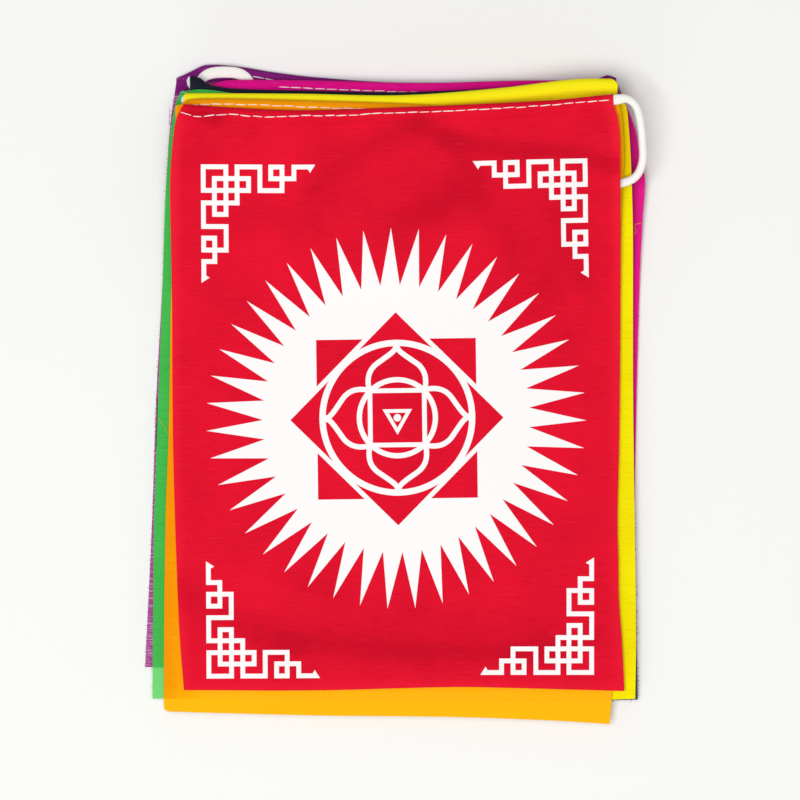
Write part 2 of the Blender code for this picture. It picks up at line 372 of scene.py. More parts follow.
@dataclass(frozen=True)
class CottonCloth:
    """Plain-woven cotton, dyed in the piece: dull, with fine threads and slubs along the weft.

    The eye gets a matt, deep colour with faint lighter and darker streaks across the flag, which
    are the weft's thick and thin places, and a paler tone where only the white table is behind it.
    """

    name: str
    colour: str
    # deep: the darker dye of the slubs and clouds, also the colour of the painted shade
    deep: str
    pale: str
    # edge: the cut threads' paler colour, also used for the light slubs and the painted lighter
    # places
    edge: str
    slub: float = 0.5
    open_weave: float = 0.0

    # Slubs are 4 to 10 mm long and a thread or two thick: three rows, by length and pitch
    STREAKS = ((6.0, 0.62), (8.5, 0.8), (5.0, 0.62))
    CLOUD_SIZE = 24.0
    WEAVE_DEPTH = 0.07
    TABLE_BEHIND = (0.85, 0.85, 0.86, 1.0)

    def build(self) -> Material:
        """Makes the cloth's material.

        Returns:
            The material, which reads the sheet's UV map, its tone attribute of painted shade and
            lighter places, and its backing attribute.
        """
        material, tree, shader = new_material(self.name)
        uv = add_node(tree, "TexCoord").outputs["UV"]
        rows = []
        for length, pitch in self.STREAKS:
            drawn = {"Vector": uv, "Scale": (UV_TILE / length, UV_TILE / pitch, 1.0)}
            streaks = {"Vector": add_node(tree, "Mapping", drawn), "Scale": 1.0, "Detail": 2.0}
            rows.append(add_node(tree, "TexNoise", streaks))
        weft, thick, holes = rows
        clouds = {"Vector": uv, "Scale": UV_TILE / self.CLOUD_SIZE, "Detail": 3.0}
        # The sheet's tone attribute: painted shade where it is above 0, and a paler colour where it
        # is below 0, which paints light along some lines and pales the cloth near its sides and hem
        tone, backing = (
            add_node(tree, "Attribute", attribute_name=stored).outputs["Fac"]
            for stored in ("tone", "backing")
        )
        # Each value, the range of it that counts, and what that range becomes
        dark, clouded, light, painted_paler, bare, gaps = (
            add_node(tree, "MapRange", dict(enumerate(row)))
            for row in (
                (weft, 0.54, 0.74, 0.0, self.slub),
                (add_node(tree, "TexNoise", clouds), 0.35, 0.7, 0.0, 0.45),
                (thick, 0.6, 0.8, 0.0, self.slub * 0.3),
                (tone, -1.0, 0.0, 0.35, 0.0),
                (backing, -0.35, 0.35, 1.0, 0.0),
                (holes, 0.5, 0.66, 0.0, self.open_weave),
            )
        )
        # The slubs and clouds deepen the dye, and so does the tone, as painted shade
        slubs_clouds_and_painted_shade = add_node(tree, "Math", {0: add_node(tree, "Math", {0: dark, 1: clouded}), 1: tone})
        # The light slubs and the tone's paler share lift the colour, as painted light and paler
        # edges
        paler = add_node(tree, "Math", {0: light, 1: painted_paler})
        # Where no flag lies below, the table's white shows between the threads
        thin = {0: gaps, 6: linear(self.pale), 7: self.TABLE_BEHIND}
        seen = linear(self.colour)
        for mix in (
            {0: slubs_clouds_and_painted_shade, 7: linear(self.deep)},
            {0: paler, 7: linear(self.edge)},
            {0: bare, 7: add_node(tree, "Mix", thin, data_type="RGBA").outputs[2]},
        ):
            seen = add_node(tree, "Mix", {6: seen, **mix}, data_type="RGBA").outputs[2]
        # The over and under of the weave is the product of two rows of waves
        scale = UV_TILE / THREAD_PITCH / 20.0 * math.pi
        waves = {"Vector": uv, "Scale": scale, "Distortion": 0.6, "Detail": 1.0}
        across, along = (
            add_node(tree, "TexWave", waves, bands_direction=way).outputs["Fac"]
            for way in ("X", "Y")
        )
        threads = add_node(tree, "Math", {0: across, 1: along}, operation="MULTIPLY")
        relief = add_node(tree, "Math", {0: threads, 1: weft})
        bump = {"Height": relief, "Distance": self.WEAVE_DEPTH * MM, "Strength": 0.7}
        feed(tree, shader, {"Base Color": seen, "Normal": add_node(tree, "Bump", bump)})
        feed(tree, shader, {"Roughness": 0.9, "Specular IOR Level": 0.06})
        return material

    def build_edge(self) -> Material:
        """Makes the cut edge's material: the threads' cut ends, paler and rougher than the face.

        Returns:
            The material.
        """
        material, tree, shader = new_material(f"{self.name}_cut_edge")
        place = add_node(tree, "TexCoord").outputs["Object"]
        ends = add_node(tree, "TexNoise", {"Vector": place, "Scale": 1 / (2 * THREAD_PITCH * MM)})
        few = add_node(tree, "MapRange", {0: ends, 1: 0.4, 2: 0.7, 3: 1.0, 4: 0.0})
        mix = {0: few, 6: linear(self.edge), 7: linear(self.colour)}
        seen = add_node(tree, "Mix", mix, data_type="RGBA").outputs[2]
        feed(tree, shader, {"Base Color": seen, "Roughness": 0.95, "Specular IOR Level": 0.05})
        return material


@dataclass(frozen=True)
class FineGrain:
    """What ink, yarn and paint share: a fine noise mixes two close colours and raises the surface.

    Grain and relief are in millimetres, and share is a range of the noise and what it becomes.
    """

    name: str
    colour: str
    second: str
    grain: float = 1.0
    detail: float = 2.0
    share: Row = ()
    on_sheet: bool = False
    relief: float = 0.0
    strength: float = 0.5
    roughness: float = 0.8
    specular: float = 0.5
    sheen: float = 0.0

    def build(self) -> Material:
        """Makes the material.

        Returns:
            The material, which reads a sheet's UV map in tiles, or else Object coordinates.
        """
        material, tree, shader = new_material(self.name)
        place = add_node(tree, "TexCoord").outputs["UV" if self.on_sheet else "Object"]
        scale = UV_TILE / self.grain if self.on_sheet else 1 / (self.grain * MM)
        noise = add_node(tree, "TexNoise", {"Vector": place, "Scale": scale, "Detail": self.detail})
        part = noise
        if self.share:
            part = add_node(tree, "MapRange", {0: noise, **dict(enumerate(self.share, 1))})
        mix = {0: part, 6: linear(self.colour), 7: linear(self.second)}
        seen = add_node(tree, "Mix", mix, data_type="RGBA").outputs[2]
        feed(tree, shader, {"Base Color": seen, "Roughness": self.roughness})
        feed(tree, shader, {"Specular IOR Level": self.specular, "Sheen Weight": self.sheen})
        if self.relief:
            bump = {"Height": noise, "Distance": self.relief * MM, "Strength": self.strength}
            feed(tree, shader, {"Normal": add_node(tree, "Bump", bump)})
        return material


@dataclass(frozen=True)
class PrintInk(FineGrain):
    """Screen-printing ink: a thin matt white film that takes the weave's relief.

    The eye gets an even white, a touch pink where the film is thin.
    """

    name: str = "white_print_ink"
    colour: str = "f6f4f3"
    second: str = "f2dcdd"
    grain: float = 0.9
    share: Row = (0.6, 0.85, 0.0, 0.5)
    on_sheet: bool = True
    relief: float = 0.03
    roughness: float = 0.7
    specular: float = 0.3


@dataclass(frozen=True)
class SoftCotton(FineGrain):
    """Undyed or dyed cotton, spun to a cord or thread: dull and a little fuzzy.

    The eye gets soft light at its sides, and its strands just showing.
    """

    detail: float = 3.0
    relief: float = 0.15
    strength: float = 0.6
    roughness: float = 0.9
    specular: float = 0.2
    sheen: float = 0.3


@dataclass(frozen=True)
class Tabletop(FineGrain):
    """A painted white board, smooth and matt, whose tone drifts a little from place to place."""

    name: str = "white_table"
    colour: str = "f4f4f2"
    second: str = "f2f2f0"
    grain: float = 1000.0 / 3


@dataclass(frozen=True)
class FlagShape:
    """A flag's outline and place in the stack.

    Its tables are rows of millimetres: sides has y, left and right, and fold and hem have x and y.
    """

    name: str
    level: int
    facing: Facing
    sides: tuple[Row, ...]
    fold: tuple[Row, ...]
    hem: tuple[Row, ...]

    def side(self, across: Array | float, y: Array | float) -> Array:
        """The x of the cloth at a height y, a fraction across from its left edge.

        Args:
            across: the fraction, 0 at the left edge and 1 at the right one.
            y: the places along the flag.

        Returns:
            The x of each point.
        """
        left = through([row[:2] for row in self.sides], y)
        right = through([(row[0], row[2]) for row in self.sides], y)
        return left + across * (right - left)

    def fold_line(self, x: Array | float) -> Array:
        """The y of the fold over the string at x."""
        return through(self.fold, x)

    def casing_height(self) -> float:
        """The height of the string in this flag's casing."""
        return CASING_BASE + CASING_PITCH * self.level + (TAIL_ROOM if self.level else 0.0)

    def mouth(self, end: End) -> float:
        """The x just outside the casing's open end.

        Args:
            end: which end.

        Returns:
            The x, in millimetres.
        """
        y = self.fold[0 if end is End.LEFT else -1][1]
        depths = (0.0, CORD_DEPTH, 2 * CORD_DEPTH)
        ends = [float(self.side(end.value, y - depth)) for depth in depths]
        return min(ends) - 0.5 if end is End.LEFT else max(ends) + 0.5

    def from_sides(self, x: Array, y: Array) -> Array:
        """How far points lie in from the nearer side edge."""
        return np.minimum(x - self.side(0.0, y), self.side(1.0, y) - x)

    def depth_inside(self, x: Array, y: Array) -> Array:
        """How far points lie inside this flag's outline, or how far outside it, if negative."""
        ends = np.minimum(y - through(self.hem, x), self.fold_line(x) - y)
        return np.minimum(self.from_sides(x, y), ends)

    def slot(self) -> str:
        """The record's material slot for this flag's cloth."""
        return self.name.replace("flag", "cloth")


PURPLE = FlagShape(
    "flag_purple", 0, Facing.UP,
    (
        (109.9, -75.2, 76.4), (103.6, -76.0, 76.6), (97.2, -77.0, 76.3), (92.7, -77.5, 76.2),
        (84.1, -78.2, 75.8), (66.0, -79.0, 74.8), (53.2, -79.5, 74.1), (32.0, -80.5, 73.3),
        (-2.1, -82.4, 72.1), (-43.6, -83.8, 70.7), (-94.5, -86.2, 68.6),
    ),
    (
        (-75.5, 109.2), (-70.4, 111.5), (-65.0, 113.7), (-53.0, 113.0), (-43.4, 111.4),
        (-27.8, 109.5), (5.0, 107.5), (38.0, 108.2), (67.0, 108.2), (70.8, 109.2), (73.6, 110.2),
        (76.6, 109.2),
    ),
    ((-86.2, -94.4), (68.6, -94.7)),
)
MAGENTA = FlagShape(
    "flag_magenta", 1, Facing.DOWN,
    (
        (108.0, -66.6, 75.4), (105.5, -67.0, 76.8), (99.9, -68.1, 79.6), (91.0, -69.4, 83.0),
        (78.9, -70.1, 85.0), (74.5, -70.2, 86.4), (60.0, -70.6, 85.6), (39.4, -71.0, 84.7),
        (-2.1, -71.7, 83.6), (-103.6, -73.1, 81.7),
    ),
    (
        (-67.0, 105.6), (-63.5, 106.3), (-60.5, 107.7), (-56.0, 108.3), (-32.0, 108.2),
        (10.0, 107.3), (45.0, 108.1), (77.4, 108.2),
    ),
    ((-73.1, -103.6), (81.7, -103.6)),
)
NAVY = FlagShape(
    "flag_navy", 2, Facing.UP,
    (
        (104.6, -70.3, 76.6), (94.3, -71.4, 79.0), (80.5, -71.7, 80.7), (53.1, -72.3, 81.6),
        (-2.1, -72.0, 82.0), (-57.3, -71.3, 83.0), (-106.0, -70.4, 84.0),
    ),
    (
        (-71.3, 109.6), (-70.0, 109.4), (-69.1, 108.9), (-67.6, 108.0), (-65.9, 107.1),
        (-63.3, 106.3), (-60.4, 105.8), (-57.6, 105.3), (-45.0, 104.7), (-32.0, 104.5),
        (2.0, 103.9), (43.0, 105.6), (76.6, 107.0),
    ),
    ((-70.6, -105.0), (60.0, -106.0), (84.1, -105.5)),
)
GREEN = FlagShape(
    "flag_green", 3, Facing.DOWN,
    (
        (103.7, -73.2, 76.4), (102.0, -74.3, 76.4), (99.9, -75.0, 76.4), (94.1, -76.2, 76.4),
        (83.8, -77.6, 75.4), (66.7, -78.9, 74.5), (53.0, -79.5, 74.1), (32.0, -80.2, 73.5),
        (-12.4, -81.9, 72.1), (-36.5, -82.7, 71.5), (-43.5, -83.0, 71.3), (-104.9, -83.5, 70.6),
    ),
    ((-75.0, 103.7), (-66.0, 104.7), (-50.0, 102.8), (2.0, 101.7), (43.0, 103.7), (76.4, 105.8)),
    ((-83.5, -105.1), (70.6, -104.6)),
)
YELLOW = FlagShape(
    "flag_yellow", 4, Facing.UP,
    (
        (104.2, -71.7, 76.5), (98.7, -72.4, 79.4), (93.9, -73.2, 80.1), (80.3, -73.6, 81.1),
        (53.0, -73.5, 82.1), (-2.1, -73.3, 82.3), (-84.8, -72.6, 83.3), (-105.2, -72.3, 83.0),
    ),
    ((-72.2, 103.2), (-32.0, 103.0), (2.0, 102.5), (36.0, 104.9), (62.0, 108.0), (76.3, 108.2)),
    ((-72.3, -104.5), (62.0, -105.7), (83.0, -105.1)),
)
ORANGE = FlagShape(
    "flag_orange", 5, Facing.DOWN,
    (
        (101.5, -73.4, 76.0), (99.3, -74.8, 76.6), (95.0, -74.9, 77.7), (92.0, -74.6, 78.0),
        (86.9, -75.3, 78.4), (80.0, -76.1, 78.6), (66.6, -76.5, 78.2), (45.0, -76.5, 77.8),
        (32.0, -77.0, 77.6), (8.0, -77.4, 77.5), (-15.9, -77.9, 77.2), (-43.4, -78.9, 76.7),
        (-105.5, -79.5, 74.8), (-112.4, -79.0, 74.2),
    ),
    (
        (-74.8, 98.7), (-73.0, 99.6), (-71.6, 100.8), (-60.0, 101.2), (-25.0, 100.4),
        (8.0, 99.3), (22.0, 98.6), (43.0, 99.2), (76.2, 101.8),
    ),
    (
        (-79.5, -108.5), (-78.4, -109.3), (-76.0, -109.5), (-25.7, -110.8), (19.1, -111.3),
        (53.6, -112.5), (75.0, -113.8),
    ),
)
RED = FlagShape(
    "flag_red", 6, Facing.UP,
    (
        (99.1, -71.9, 74.7), (93.6, -74.6, 76.4), (86.8, -75.7, 77.1), (73.2, -76.8, 77.2),
        (50.0, -76.8, 77.8), (25.5, -76.6, 77.8), (-15.9, -76.3, 77.4), (-43.4, -75.6, 76.8),
        (-57.0, -75.1, 77.1), (-71.0, -74.6, 77.3), (-84.8, -73.9, 78.3), (-102.3, -72.5, 79.2),
    ),
    ((-71.9, 99.1), (-55.0, 97.9), (-32.0, 97.0), (2.0, 98.0), (53.0, 100.4), (74.6, 102.5)),
    ((-72.5, -102.0), (-25.7, -102.0), (19.1, -100.9), (36.4, -101.1), (79.1, -102.3)),
)
STACK = (PURPLE, MAGENTA, NAVY, GREEN, YELLOW, ORANGE, RED)

# The cord's route: x and y of each tail under its flag, and x, y and z of the loop
TAIL_ONE_UNDER_RED = (
    (63.6, 31.5), (54.0, 44.0), (36.0, 52.0), (2.0, 56.9), (-24.5, 62.0), (-30.7, 72.0),
    (-18.0, 84.5), (8.8, 90.6), (36.2, 85.0), (62.0, 76.0), (77.5, 72.2),
)
LOOP = (
    (82.6, 74.4, 22.3), (85.0, 79.6, 23.2), (84.9, 87.0, 25.0),
    (84.0, 94.0, 26.7), (82.3, 98.9, 28.0), (79.2, 100.9, 29.0),
)
# Its second tail lies over the purple casing (x, y, half width), then under the magenta flag
TAIL_TWO_OVER_PURPLE = (
    (-67.7, 106.6, 1.3), (-66.7, 108.4, 1.6), (-64.9, 110.0, 1.85), (-61.6, 110.95, 1.95),
    (-55.8, 110.95, 1.95), (-52.6, 110.0, 1.95), (-50.5, 108.2, 1.8), (-49.4, 105.8, 1.6),
)
TAIL_TWO_UNDER_MAGENTA = (
    (-49.0, 103.2), (-47.8, 100.8), (-45.2, 98.7), (-40.0, 96.8), (-24.0, 94.4), (20.0, 91.6),
    (48.0, 88.8), (54.6, 86.4), (57.6, 80.8), (54.6, 75.2), (48.0, 73.0), (24.0, 73.0), (2.0, 75.0),
)
# Its turn from the purple casing's left end up to its second tail: also half width and half height
LAST_TURN = (
    (-69.2, 109.6, 2.0, 1.1, 0.6), (-70.5, 108.9, 3.0, 1.0, 0.6), (-71.0, 107.9, 4.2, 0.9, 0.6),
    (-70.6, 106.7, 4.75, 0.9, 0.6), (-69.8, 105.6, 4.85, 1.0, 0.6), (-68.6, 104.9, 4.8, 1.2, 0.65),
)

# Where the cord turns from one casing to the next, from the red flag's down to the purple one's
TURN_X = (-71.0, 73.8, -72.6, 74.6, -69.6, 74.0)
TURN_REACH = 1.6

# Soft ridges across the red flag, besides the one over the tail: height, width and points
RIDGES = (
    (
        1.1, 7.0,
        (
            (-66.0, -56.0), (-50.0, -63.0), (-30.0, -72.0), (0.0, -78.0), (40.0, -80.0),
            (66.0, -74.0),
        ),
    ),
    (0.75, 5.0, ((-45.0, -98.0), (0.0, -99.0), (40.0, -98.0), (58.0, -97.0))),
)
TAIL_RIDGE = 2.7
TAIL_RIDGE_WIDTH = 6.5
RIDGE_START = 14.0
# Lines of painted shade on the red flag, along the sides of its ridges and in its dips: strength,
# width and points
RED_PAINTED_SHADE = (
    (
        0.6, 3.3,
        ((17.3, 87.6), (29.3, 84.2), (39.6, 82.5), (56.7, 82.8), (70.4, 80.1), (77.0, 78.0)),
    ),
    (
        0.42, 4.3,
        ((-28.9, 69.8), (-20.3, 76.7), (-11.8, 81.8), (-4.9, 86.9), (0.2, 90.3), (8.1, 92.4)),
    ),
    (0.36, 4.3, ((8.1, 92.4), (15.6, 89.7), (22.4, 83.5), (27.6, 76.0), (30.0, 68.1))),
    (0.62, 7.2, ((1.9, 58.8), (12.2, 62.2), (20.7, 68.0))),
    (0.4, 9.0, ((31.0, 66.0), (40.0, 52.0), (50.0, 40.0))),
    (0.25, 10.0, ((54.0, 66.0), (66.0, 45.0))),
    (0.3, 7.0, ((-50.0, 60.0), (-28.0, 62.0))),
    (0.3, 6.0, ((-74.0, -68.0), (-56.6, -77.0), (-36.0, -86.0))),
    (0.6, 4.2, ((-38.0, -85.5), (1.9, -88.8), (36.3, -89.8), (57.0, -88.1), (68.0, -84.0))),
    (0.25, 9.0, ((-40.0, -82.0), (50.0, -82.0))),
    (0.8, 2.6, ((-71.5, 97.5), (-66.0, 96.0), (-61.0, 94.0))),
)
# On the yellow flag: painted shadow on its right strip beside the cord's loop, and a painted
# highlight along its casing, with a strength below 0
YELLOW_PAINTED_SHADE_AND_LIGHT = (
    (0.9, 7.0, ((80.0, 97.0), (81.0, 78.0))),
    (-0.9, 5.0, ((-72.0, 101.0), (36.0, 102.5), (72.0, 106.0))),
)
# On the orange flag: painted shade along its casing beside the red flag's casing and down its left
# strip beside the red flag, and a paler band just below the red flag's hem, with a strength below 0
ORANGE_PAINTED_SHADE_AND_PALE_BAND = (
    (0.5, 4.0, ((-70.0, 99.5), (8.0, 98.0), (70.0, 100.0))),
    (0.7, 5.0, ((-78.0, 20.0), (-79.0, -100.0))),
    (-0.9, 2.5, ((-66.0, -103.8), (74.0, -104.0))),
)
# How far in from the sides and hem the paler colour reaches, in millimetres
SELVEDGE = 4.5


def shelf_line(x: Array | float) -> Array:
    """Where the sheets leave the height of their casings: just past the lowest casing's flap."""
    return RED.fold_line(x) - SHELF_DEPTH


def route_distance(route: tuple[Row, ...], x: Array, y: Array) -> Array:
    """How far points lie, seen from above, from a route.

    Args:
        route: the route's points.
        x: the points' x.
        y: the points' y.

    Returns:
        The distances to the nearest straight stretch.
    """
    nearest = np.full(np.shape(x), 1e9)
    for a, b in zip(route, route[1:]):
        run_x, run_y = b[0] - a[0], b[1] - a[1]
        t = np.clip(((x - a[0]) * run_x + (y - a[1]) * run_y) / (run_x**2 + run_y**2), 0.0, 1.0)
        nearest = np.minimum(nearest, np.hypot(x - a[0] - t * run_x, y - a[1] - t * run_y))
    return nearest


def soft_lines(rows: tuple, x: Array, y: Array) -> Array | float:
    """How high soft ridges stand, or how deep creases are, at points.

    Args:
        rows: each line's strength, width and points.
        x: the points' x.
        y: the points' y.

    Returns:
        The lines' sum at each point.
    """
    return sum(
        strength * np.exp(-((route_distance(points, x, y) / width) ** 2))
        for strength, width, points in rows
    )


def red_folds(x: Array, y: Array) -> Array:
    """What lifts the red flag off the orange one: the hidden tail, and two soft ridges.

    Args:
        x: the points' x.
        y: the points' y.

    Returns:
        The lift at each point.
    """
    tail = (*spaced(TAIL_ONE_UNDER_RED, 8.0, after=LOOP[0][:2]), LOOP[0][:2])
    rise = soft_lines(((TAIL_RIDGE, TAIL_RIDGE_WIDTH, tail), *RIDGES), x, y)
    return rise * smooth_step((shelf_line(x) - y) / RIDGE_START)


def sheet_height(level: int, x: Array | float, y: Array | float) -> Array:
    """The height of the middle of a level's sheet.

    Args:
        level: the flag's place in the stack, from 0 at the bottom.
        x: the points' x.
        y: the points' y.

    Returns:
        The height at each point.
    """
    x, y = np.asarray(x, dtype=float), np.asarray(y, dtype=float)
    rest = REST_HEIGHT + LAYER_PITCH * level
    head = STACK[level].casing_height()
    fallen = smooth_step((shelf_line(x) - y) / FALL_LENGTH)
    wave = 0.5 + 0.5 * np.sin(x / WAVE_LENGTH_X + 1.3) * np.cos(y / WAVE_LENGTH_Y + 0.4)
    z = head + (rest - head) * fallen + WAVE_HEIGHT * wave * fallen * level / RED.level
    return z + red_folds(x, y) if level == RED.level else z


@dataclass
class FlagCloth:
    """One flag: a thin sheet of cotton with its casing, and its seam's stitches.

    The casing's mouths are drawn back on the side where the cord turns to the next flag's casing,
    by a few millimetres, so the cloth on the other side hides the turn, as on the real string.
    Dents are rows of x, y, their half sizes and their height.
    """

    shape: FlagShape
    finish: CottonCloth
    cell: float = 2.0
    mouth_facings: tuple[int, int] = (0, 0)
    drawn_back: float = 3.4
    round_end: float = 0.0
    dents: tuple[Row, ...] = ()
    # Lines of painted tone: shade where the strength is above 0, lighter where it is below 0;
    # strength, width and points
    tone_lines: tuple = ()
    # How much of the paler colour near the sides and hem this flag gets
    selvedge: float = 0.0
    ripple: float = 0.22

    # The casing's section: depth below the fold, and rise over the string's middle
    OVER = (
        (7.1, 0.0), (6.4, 0.02), (5.6, 0.25), (4.8, 0.85), (4.0, 1.5),
        (TUBE_CENTRES[1], TUBE_RADIUS),
    )
    BACK = ((TUBE_CENTRES[1], -TUBE_RADIUS), (4.6, -1.55), (FLAP_END, -1.35))
    SECTION_STEP = 0.55
    # Near the mouths, where the cloth is drawn back, the columns stand closer: how far in that
    # goes, how many columns it adds, and the least gap between two
    CLOSE_REACH = 10.0
    CLOSE_COLUMNS = 11
    LEAST_GAP = 0.25
    DRAWN_REACH = 9.0
    # Where the drawn ends stop, past the flap's end, and the rounded one, below the fold, and how
    # softly each stops
    DRAWN_STOP = (0.8, 2.4)
    ROUND_STOP = (8.0, 3.0)
    ROUND_LOWER = 0.25
    # Puckers by the seam and the slack below it: distance from the fold, reach and height
    PUCKER = (5.4, 2.6, 0.07)
    SLACK = (15.0, 8.0, 0.12)
    SLACK_LENGTH = 5.3
    HEM_LENGTH = 9.0
    HEM_REACH = 5.0
    BACKING_REACH = 6.0
    SMOOTH_ANGLE = 50
    # What each stitch draws: its shift, rise, length and width, turn, and gap to the next
    STITCH_SHIFTS = (-0.1, 0.1)
    STITCH_RISES = (-0.04, 0.06)
    STITCH_LENGTHS = (0.9, 1.06)
    STITCH_WIDTHS = (0.85, 1.15)
    STITCH_TURNS = (-0.04, 0.04)
    STITCH_GAPS = (-0.15, 0.15)
    STITCH_SEED = 11

    def section(self) -> list[Row]:
        """The casing's section, from the sheet over the string to the flap.

        Returns:
            Rows of depth below the fold, and of rise over the string's middle.
        """
        turn = [
            (TUBE_CENTRES[0] - TUBE_RADIUS * math.sin(a), TUBE_RADIUS * math.cos(a))
            for a in (math.pi * n / 8 for n in range(9))
        ]
        line = spaced((*self.OVER, *turn, *self.BACK), self.SECTION_STEP)
        return [(depth, self.shape.facing.value * rise) for depth, rise in line]

    def points(self) -> tuple[Array, Array]:
        """The sheet's middle surface.

        Returns:
            A grid of points, column by column, in millimetres, and each one's UV.
        """
        shape = self.shape
        width = shape.sides[3][2] - shape.sides[3][1]
        shares = np.linspace(0.0, 1.0, int(width / self.cell) + 1)
        ends = np.linspace(0.0, self.CLOSE_REACH / width, self.CLOSE_COLUMNS)
        shares = np.unique(np.round(np.concatenate([shares, ends, 1.0 - ends]), 6))
        shares = shares[np.append(True, np.diff(shares) > self.LEAST_GAP / width)]
        section = self.section()
        rows = int((shape.fold[0][1] - min(row[1] for row in shape.hem)) / self.cell)
        rise = np.append(np.zeros(rows), [rise for _, rise in section])
        grid, uvs = [], []
        for across in shares:
            hem = float(through(shape.hem, shape.side(across, shape.hem[0][1])))
            fold = float(shape.fold_line(float(shape.side(across, shape.fold[0][1]))))
            y = np.linspace(hem, fold - section[0][0], rows, endpoint=False)
            z = sheet_height(shape.level, shape.side(across, y), y)
            y = np.append(y, [fold - depth for depth, _ in section])
            z = np.append(z, [shape.casing_height() + high for _, high in section])
            x = shape.side(across, y) + self.drawn(across * width, width, fold - y, rise)
            column = np.array([x, y, z + self.unevenness(x, y, fold)]).T
            along = np.append(0.0, np.cumsum(np.linalg.norm(np.diff(column, axis=0), axis=1)))
            uvs.append(np.array([np.full(len(along), across * FLAT_WIDTH / MM), along]).T / UV_TILE)
            grid.append(column)
        return np.array(grid), np.array(uvs)

    def drawn(self, from_left: float, width: float, depth: Array, rise: Array) -> Array:
        """How far the casing's ends are drawn in, along x.

        Args:
            from_left: the column's distance from the left edge.
            width: the flag's width.
            depth: the points' depths below the fold.
            rise: the points' heights over the casing's middle.

        Returns:
            The shift of each point.
        """
        shift = np.zeros_like(depth)
        in_casing = smooth_step((FLAP_END + self.DRAWN_STOP[0] - depth) / self.DRAWN_STOP[1])
        for way, facing, off in zip((1, -1), self.mouth_facings, (from_left, width - from_left)):
            near = smooth_step(1.0 - off / self.DRAWN_REACH)
            if facing:
                open_side = smooth_step(0.2 + 0.8 * facing * rise / TUBE_RADIUS)
                shift = shift + way * self.drawn_back * open_side * near * in_casing
            if self.round_end and way < 0:
                part = np.clip((CORD_DEPTH - depth) / CORD_DEPTH, -1.0, 1.0)
                stop = smooth_step((self.ROUND_STOP[0] - depth) / self.ROUND_STOP[1])
                share = np.where(part > 0.0, 1.0, self.ROUND_LOWER) * stop
                shift = shift - self.round_end * (1 - np.sqrt(1 - part**2)) * share * near
        return shift

    def unevenness(self, x: Array, y: Array, fold: Array | float) -> Array:
        """Small lifts: puckers by the seam, a slack ripple below it, dents, and a wavy lower edge.

        Args:
            x: the points' x.
            y: the points' y.
            fold: the y of the fold in this column.

        Returns:
            The lift at each point.
        """
        level = self.shape.level
        pucker, slack = (
            np.exp(-(((fold - y - middle) / reach) ** 2)) * height
            for middle, reach, height in (self.PUCKER, self.SLACK)
        )
        lift = np.cos(2 * math.pi * x / STITCH_PITCH) * pucker
        lift = lift + np.sin(x / self.SLACK_LENGTH + level) * slack
        if level:
            near_hem = np.exp(-(((y - through(self.shape.hem, x)) / self.HEM_REACH) ** 2))
            wavy = 0.5 + 0.5 * np.sin(x / self.HEM_LENGTH + 2 * level)
            lift = lift + wavy * near_hem * self.ripple
        for at_x, at_y, wide, high, height in self.dents:
            lift = lift + height * np.exp(-(((x - at_x) / wide) ** 2) - (((y - at_y) / high) ** 2))
        return lift

    def painted_tone(self, x: Array, y: Array) -> Array:
        """The painted tone: more than 0 along lines of painted shade, less than 0 along lines
        painted lighter and near the sides and hem.

        Args:
            x: the points' x.
            y: the points' y.

        Returns:
            The tone at each point, from -1 to 1.
        """
        inside = np.minimum(self.shape.from_sides(x, y), y - through(self.shape.hem, x))
        low, more = SELVEDGE_PALE
        share = low + more * smooth_step((y - PALER_ABOVE) / PALER_OVER)
        pale = smooth_step(1.0 - inside / SELVEDGE) * share
        return np.clip(soft_lines(self.tone_lines, x, y) - self.selvedge * pale, -1.0, 1.0)

    def backing(self, x: Array, y: Array) -> Array:
        """How far points lie inside the flags below this one, or outside them, if negative.

        Args:
            x: the points' x.
            y: the points' y.

        Returns:
            The distance at each point, within BACKING_REACH.
        """
        inside = np.full(len(x), -self.BACKING_REACH)
        for lower in STACK[: self.shape.level]:
            inside = np.maximum(inside, lower.depth_inside(x, y))
        own_flap = FLAP_END - (self.shape.fold_line(x) - y)
        return np.clip(np.maximum(inside, own_flap), -self.BACKING_REACH, self.BACKING_REACH)

    def build(self) -> Piece:
        """Returns:
            The sheet.
        """
        grid, uvs = self.points()
        columns, rows = grid.shape[:2]
        deselect()
        cells = {"x_subdivisions": columns - 1, "y_subdivisions": rows - 1}
        bpy.ops.mesh.primitive_grid_add(**cells, size=1.0)
        sheet = bpy.context.active_object
        mesh = sheet.data
        flat = np.empty(len(mesh.vertices) * 3)
        mesh.vertices.foreach_get("co", flat)
        flat = flat.reshape(-1, 3)
        order = np.lexsort((np.round(flat[:, 1], 5), np.round(flat[:, 0], 5)))
        placed, mapped = np.empty_like(flat), np.empty((len(flat), 2))
        placed[order] = grid.reshape(-1, 3) * MM
        mapped[order] = uvs.reshape(-1, 2)
        mesh.vertices.foreach_set("co", placed.reshape(-1))
        corner = np.empty(len(mesh.loops), dtype=int)
        mesh.loops.foreach_get("vertex_index", corner)
        mesh.uv_layers[0].data.foreach_set("uv", mapped[corner].reshape(-1))
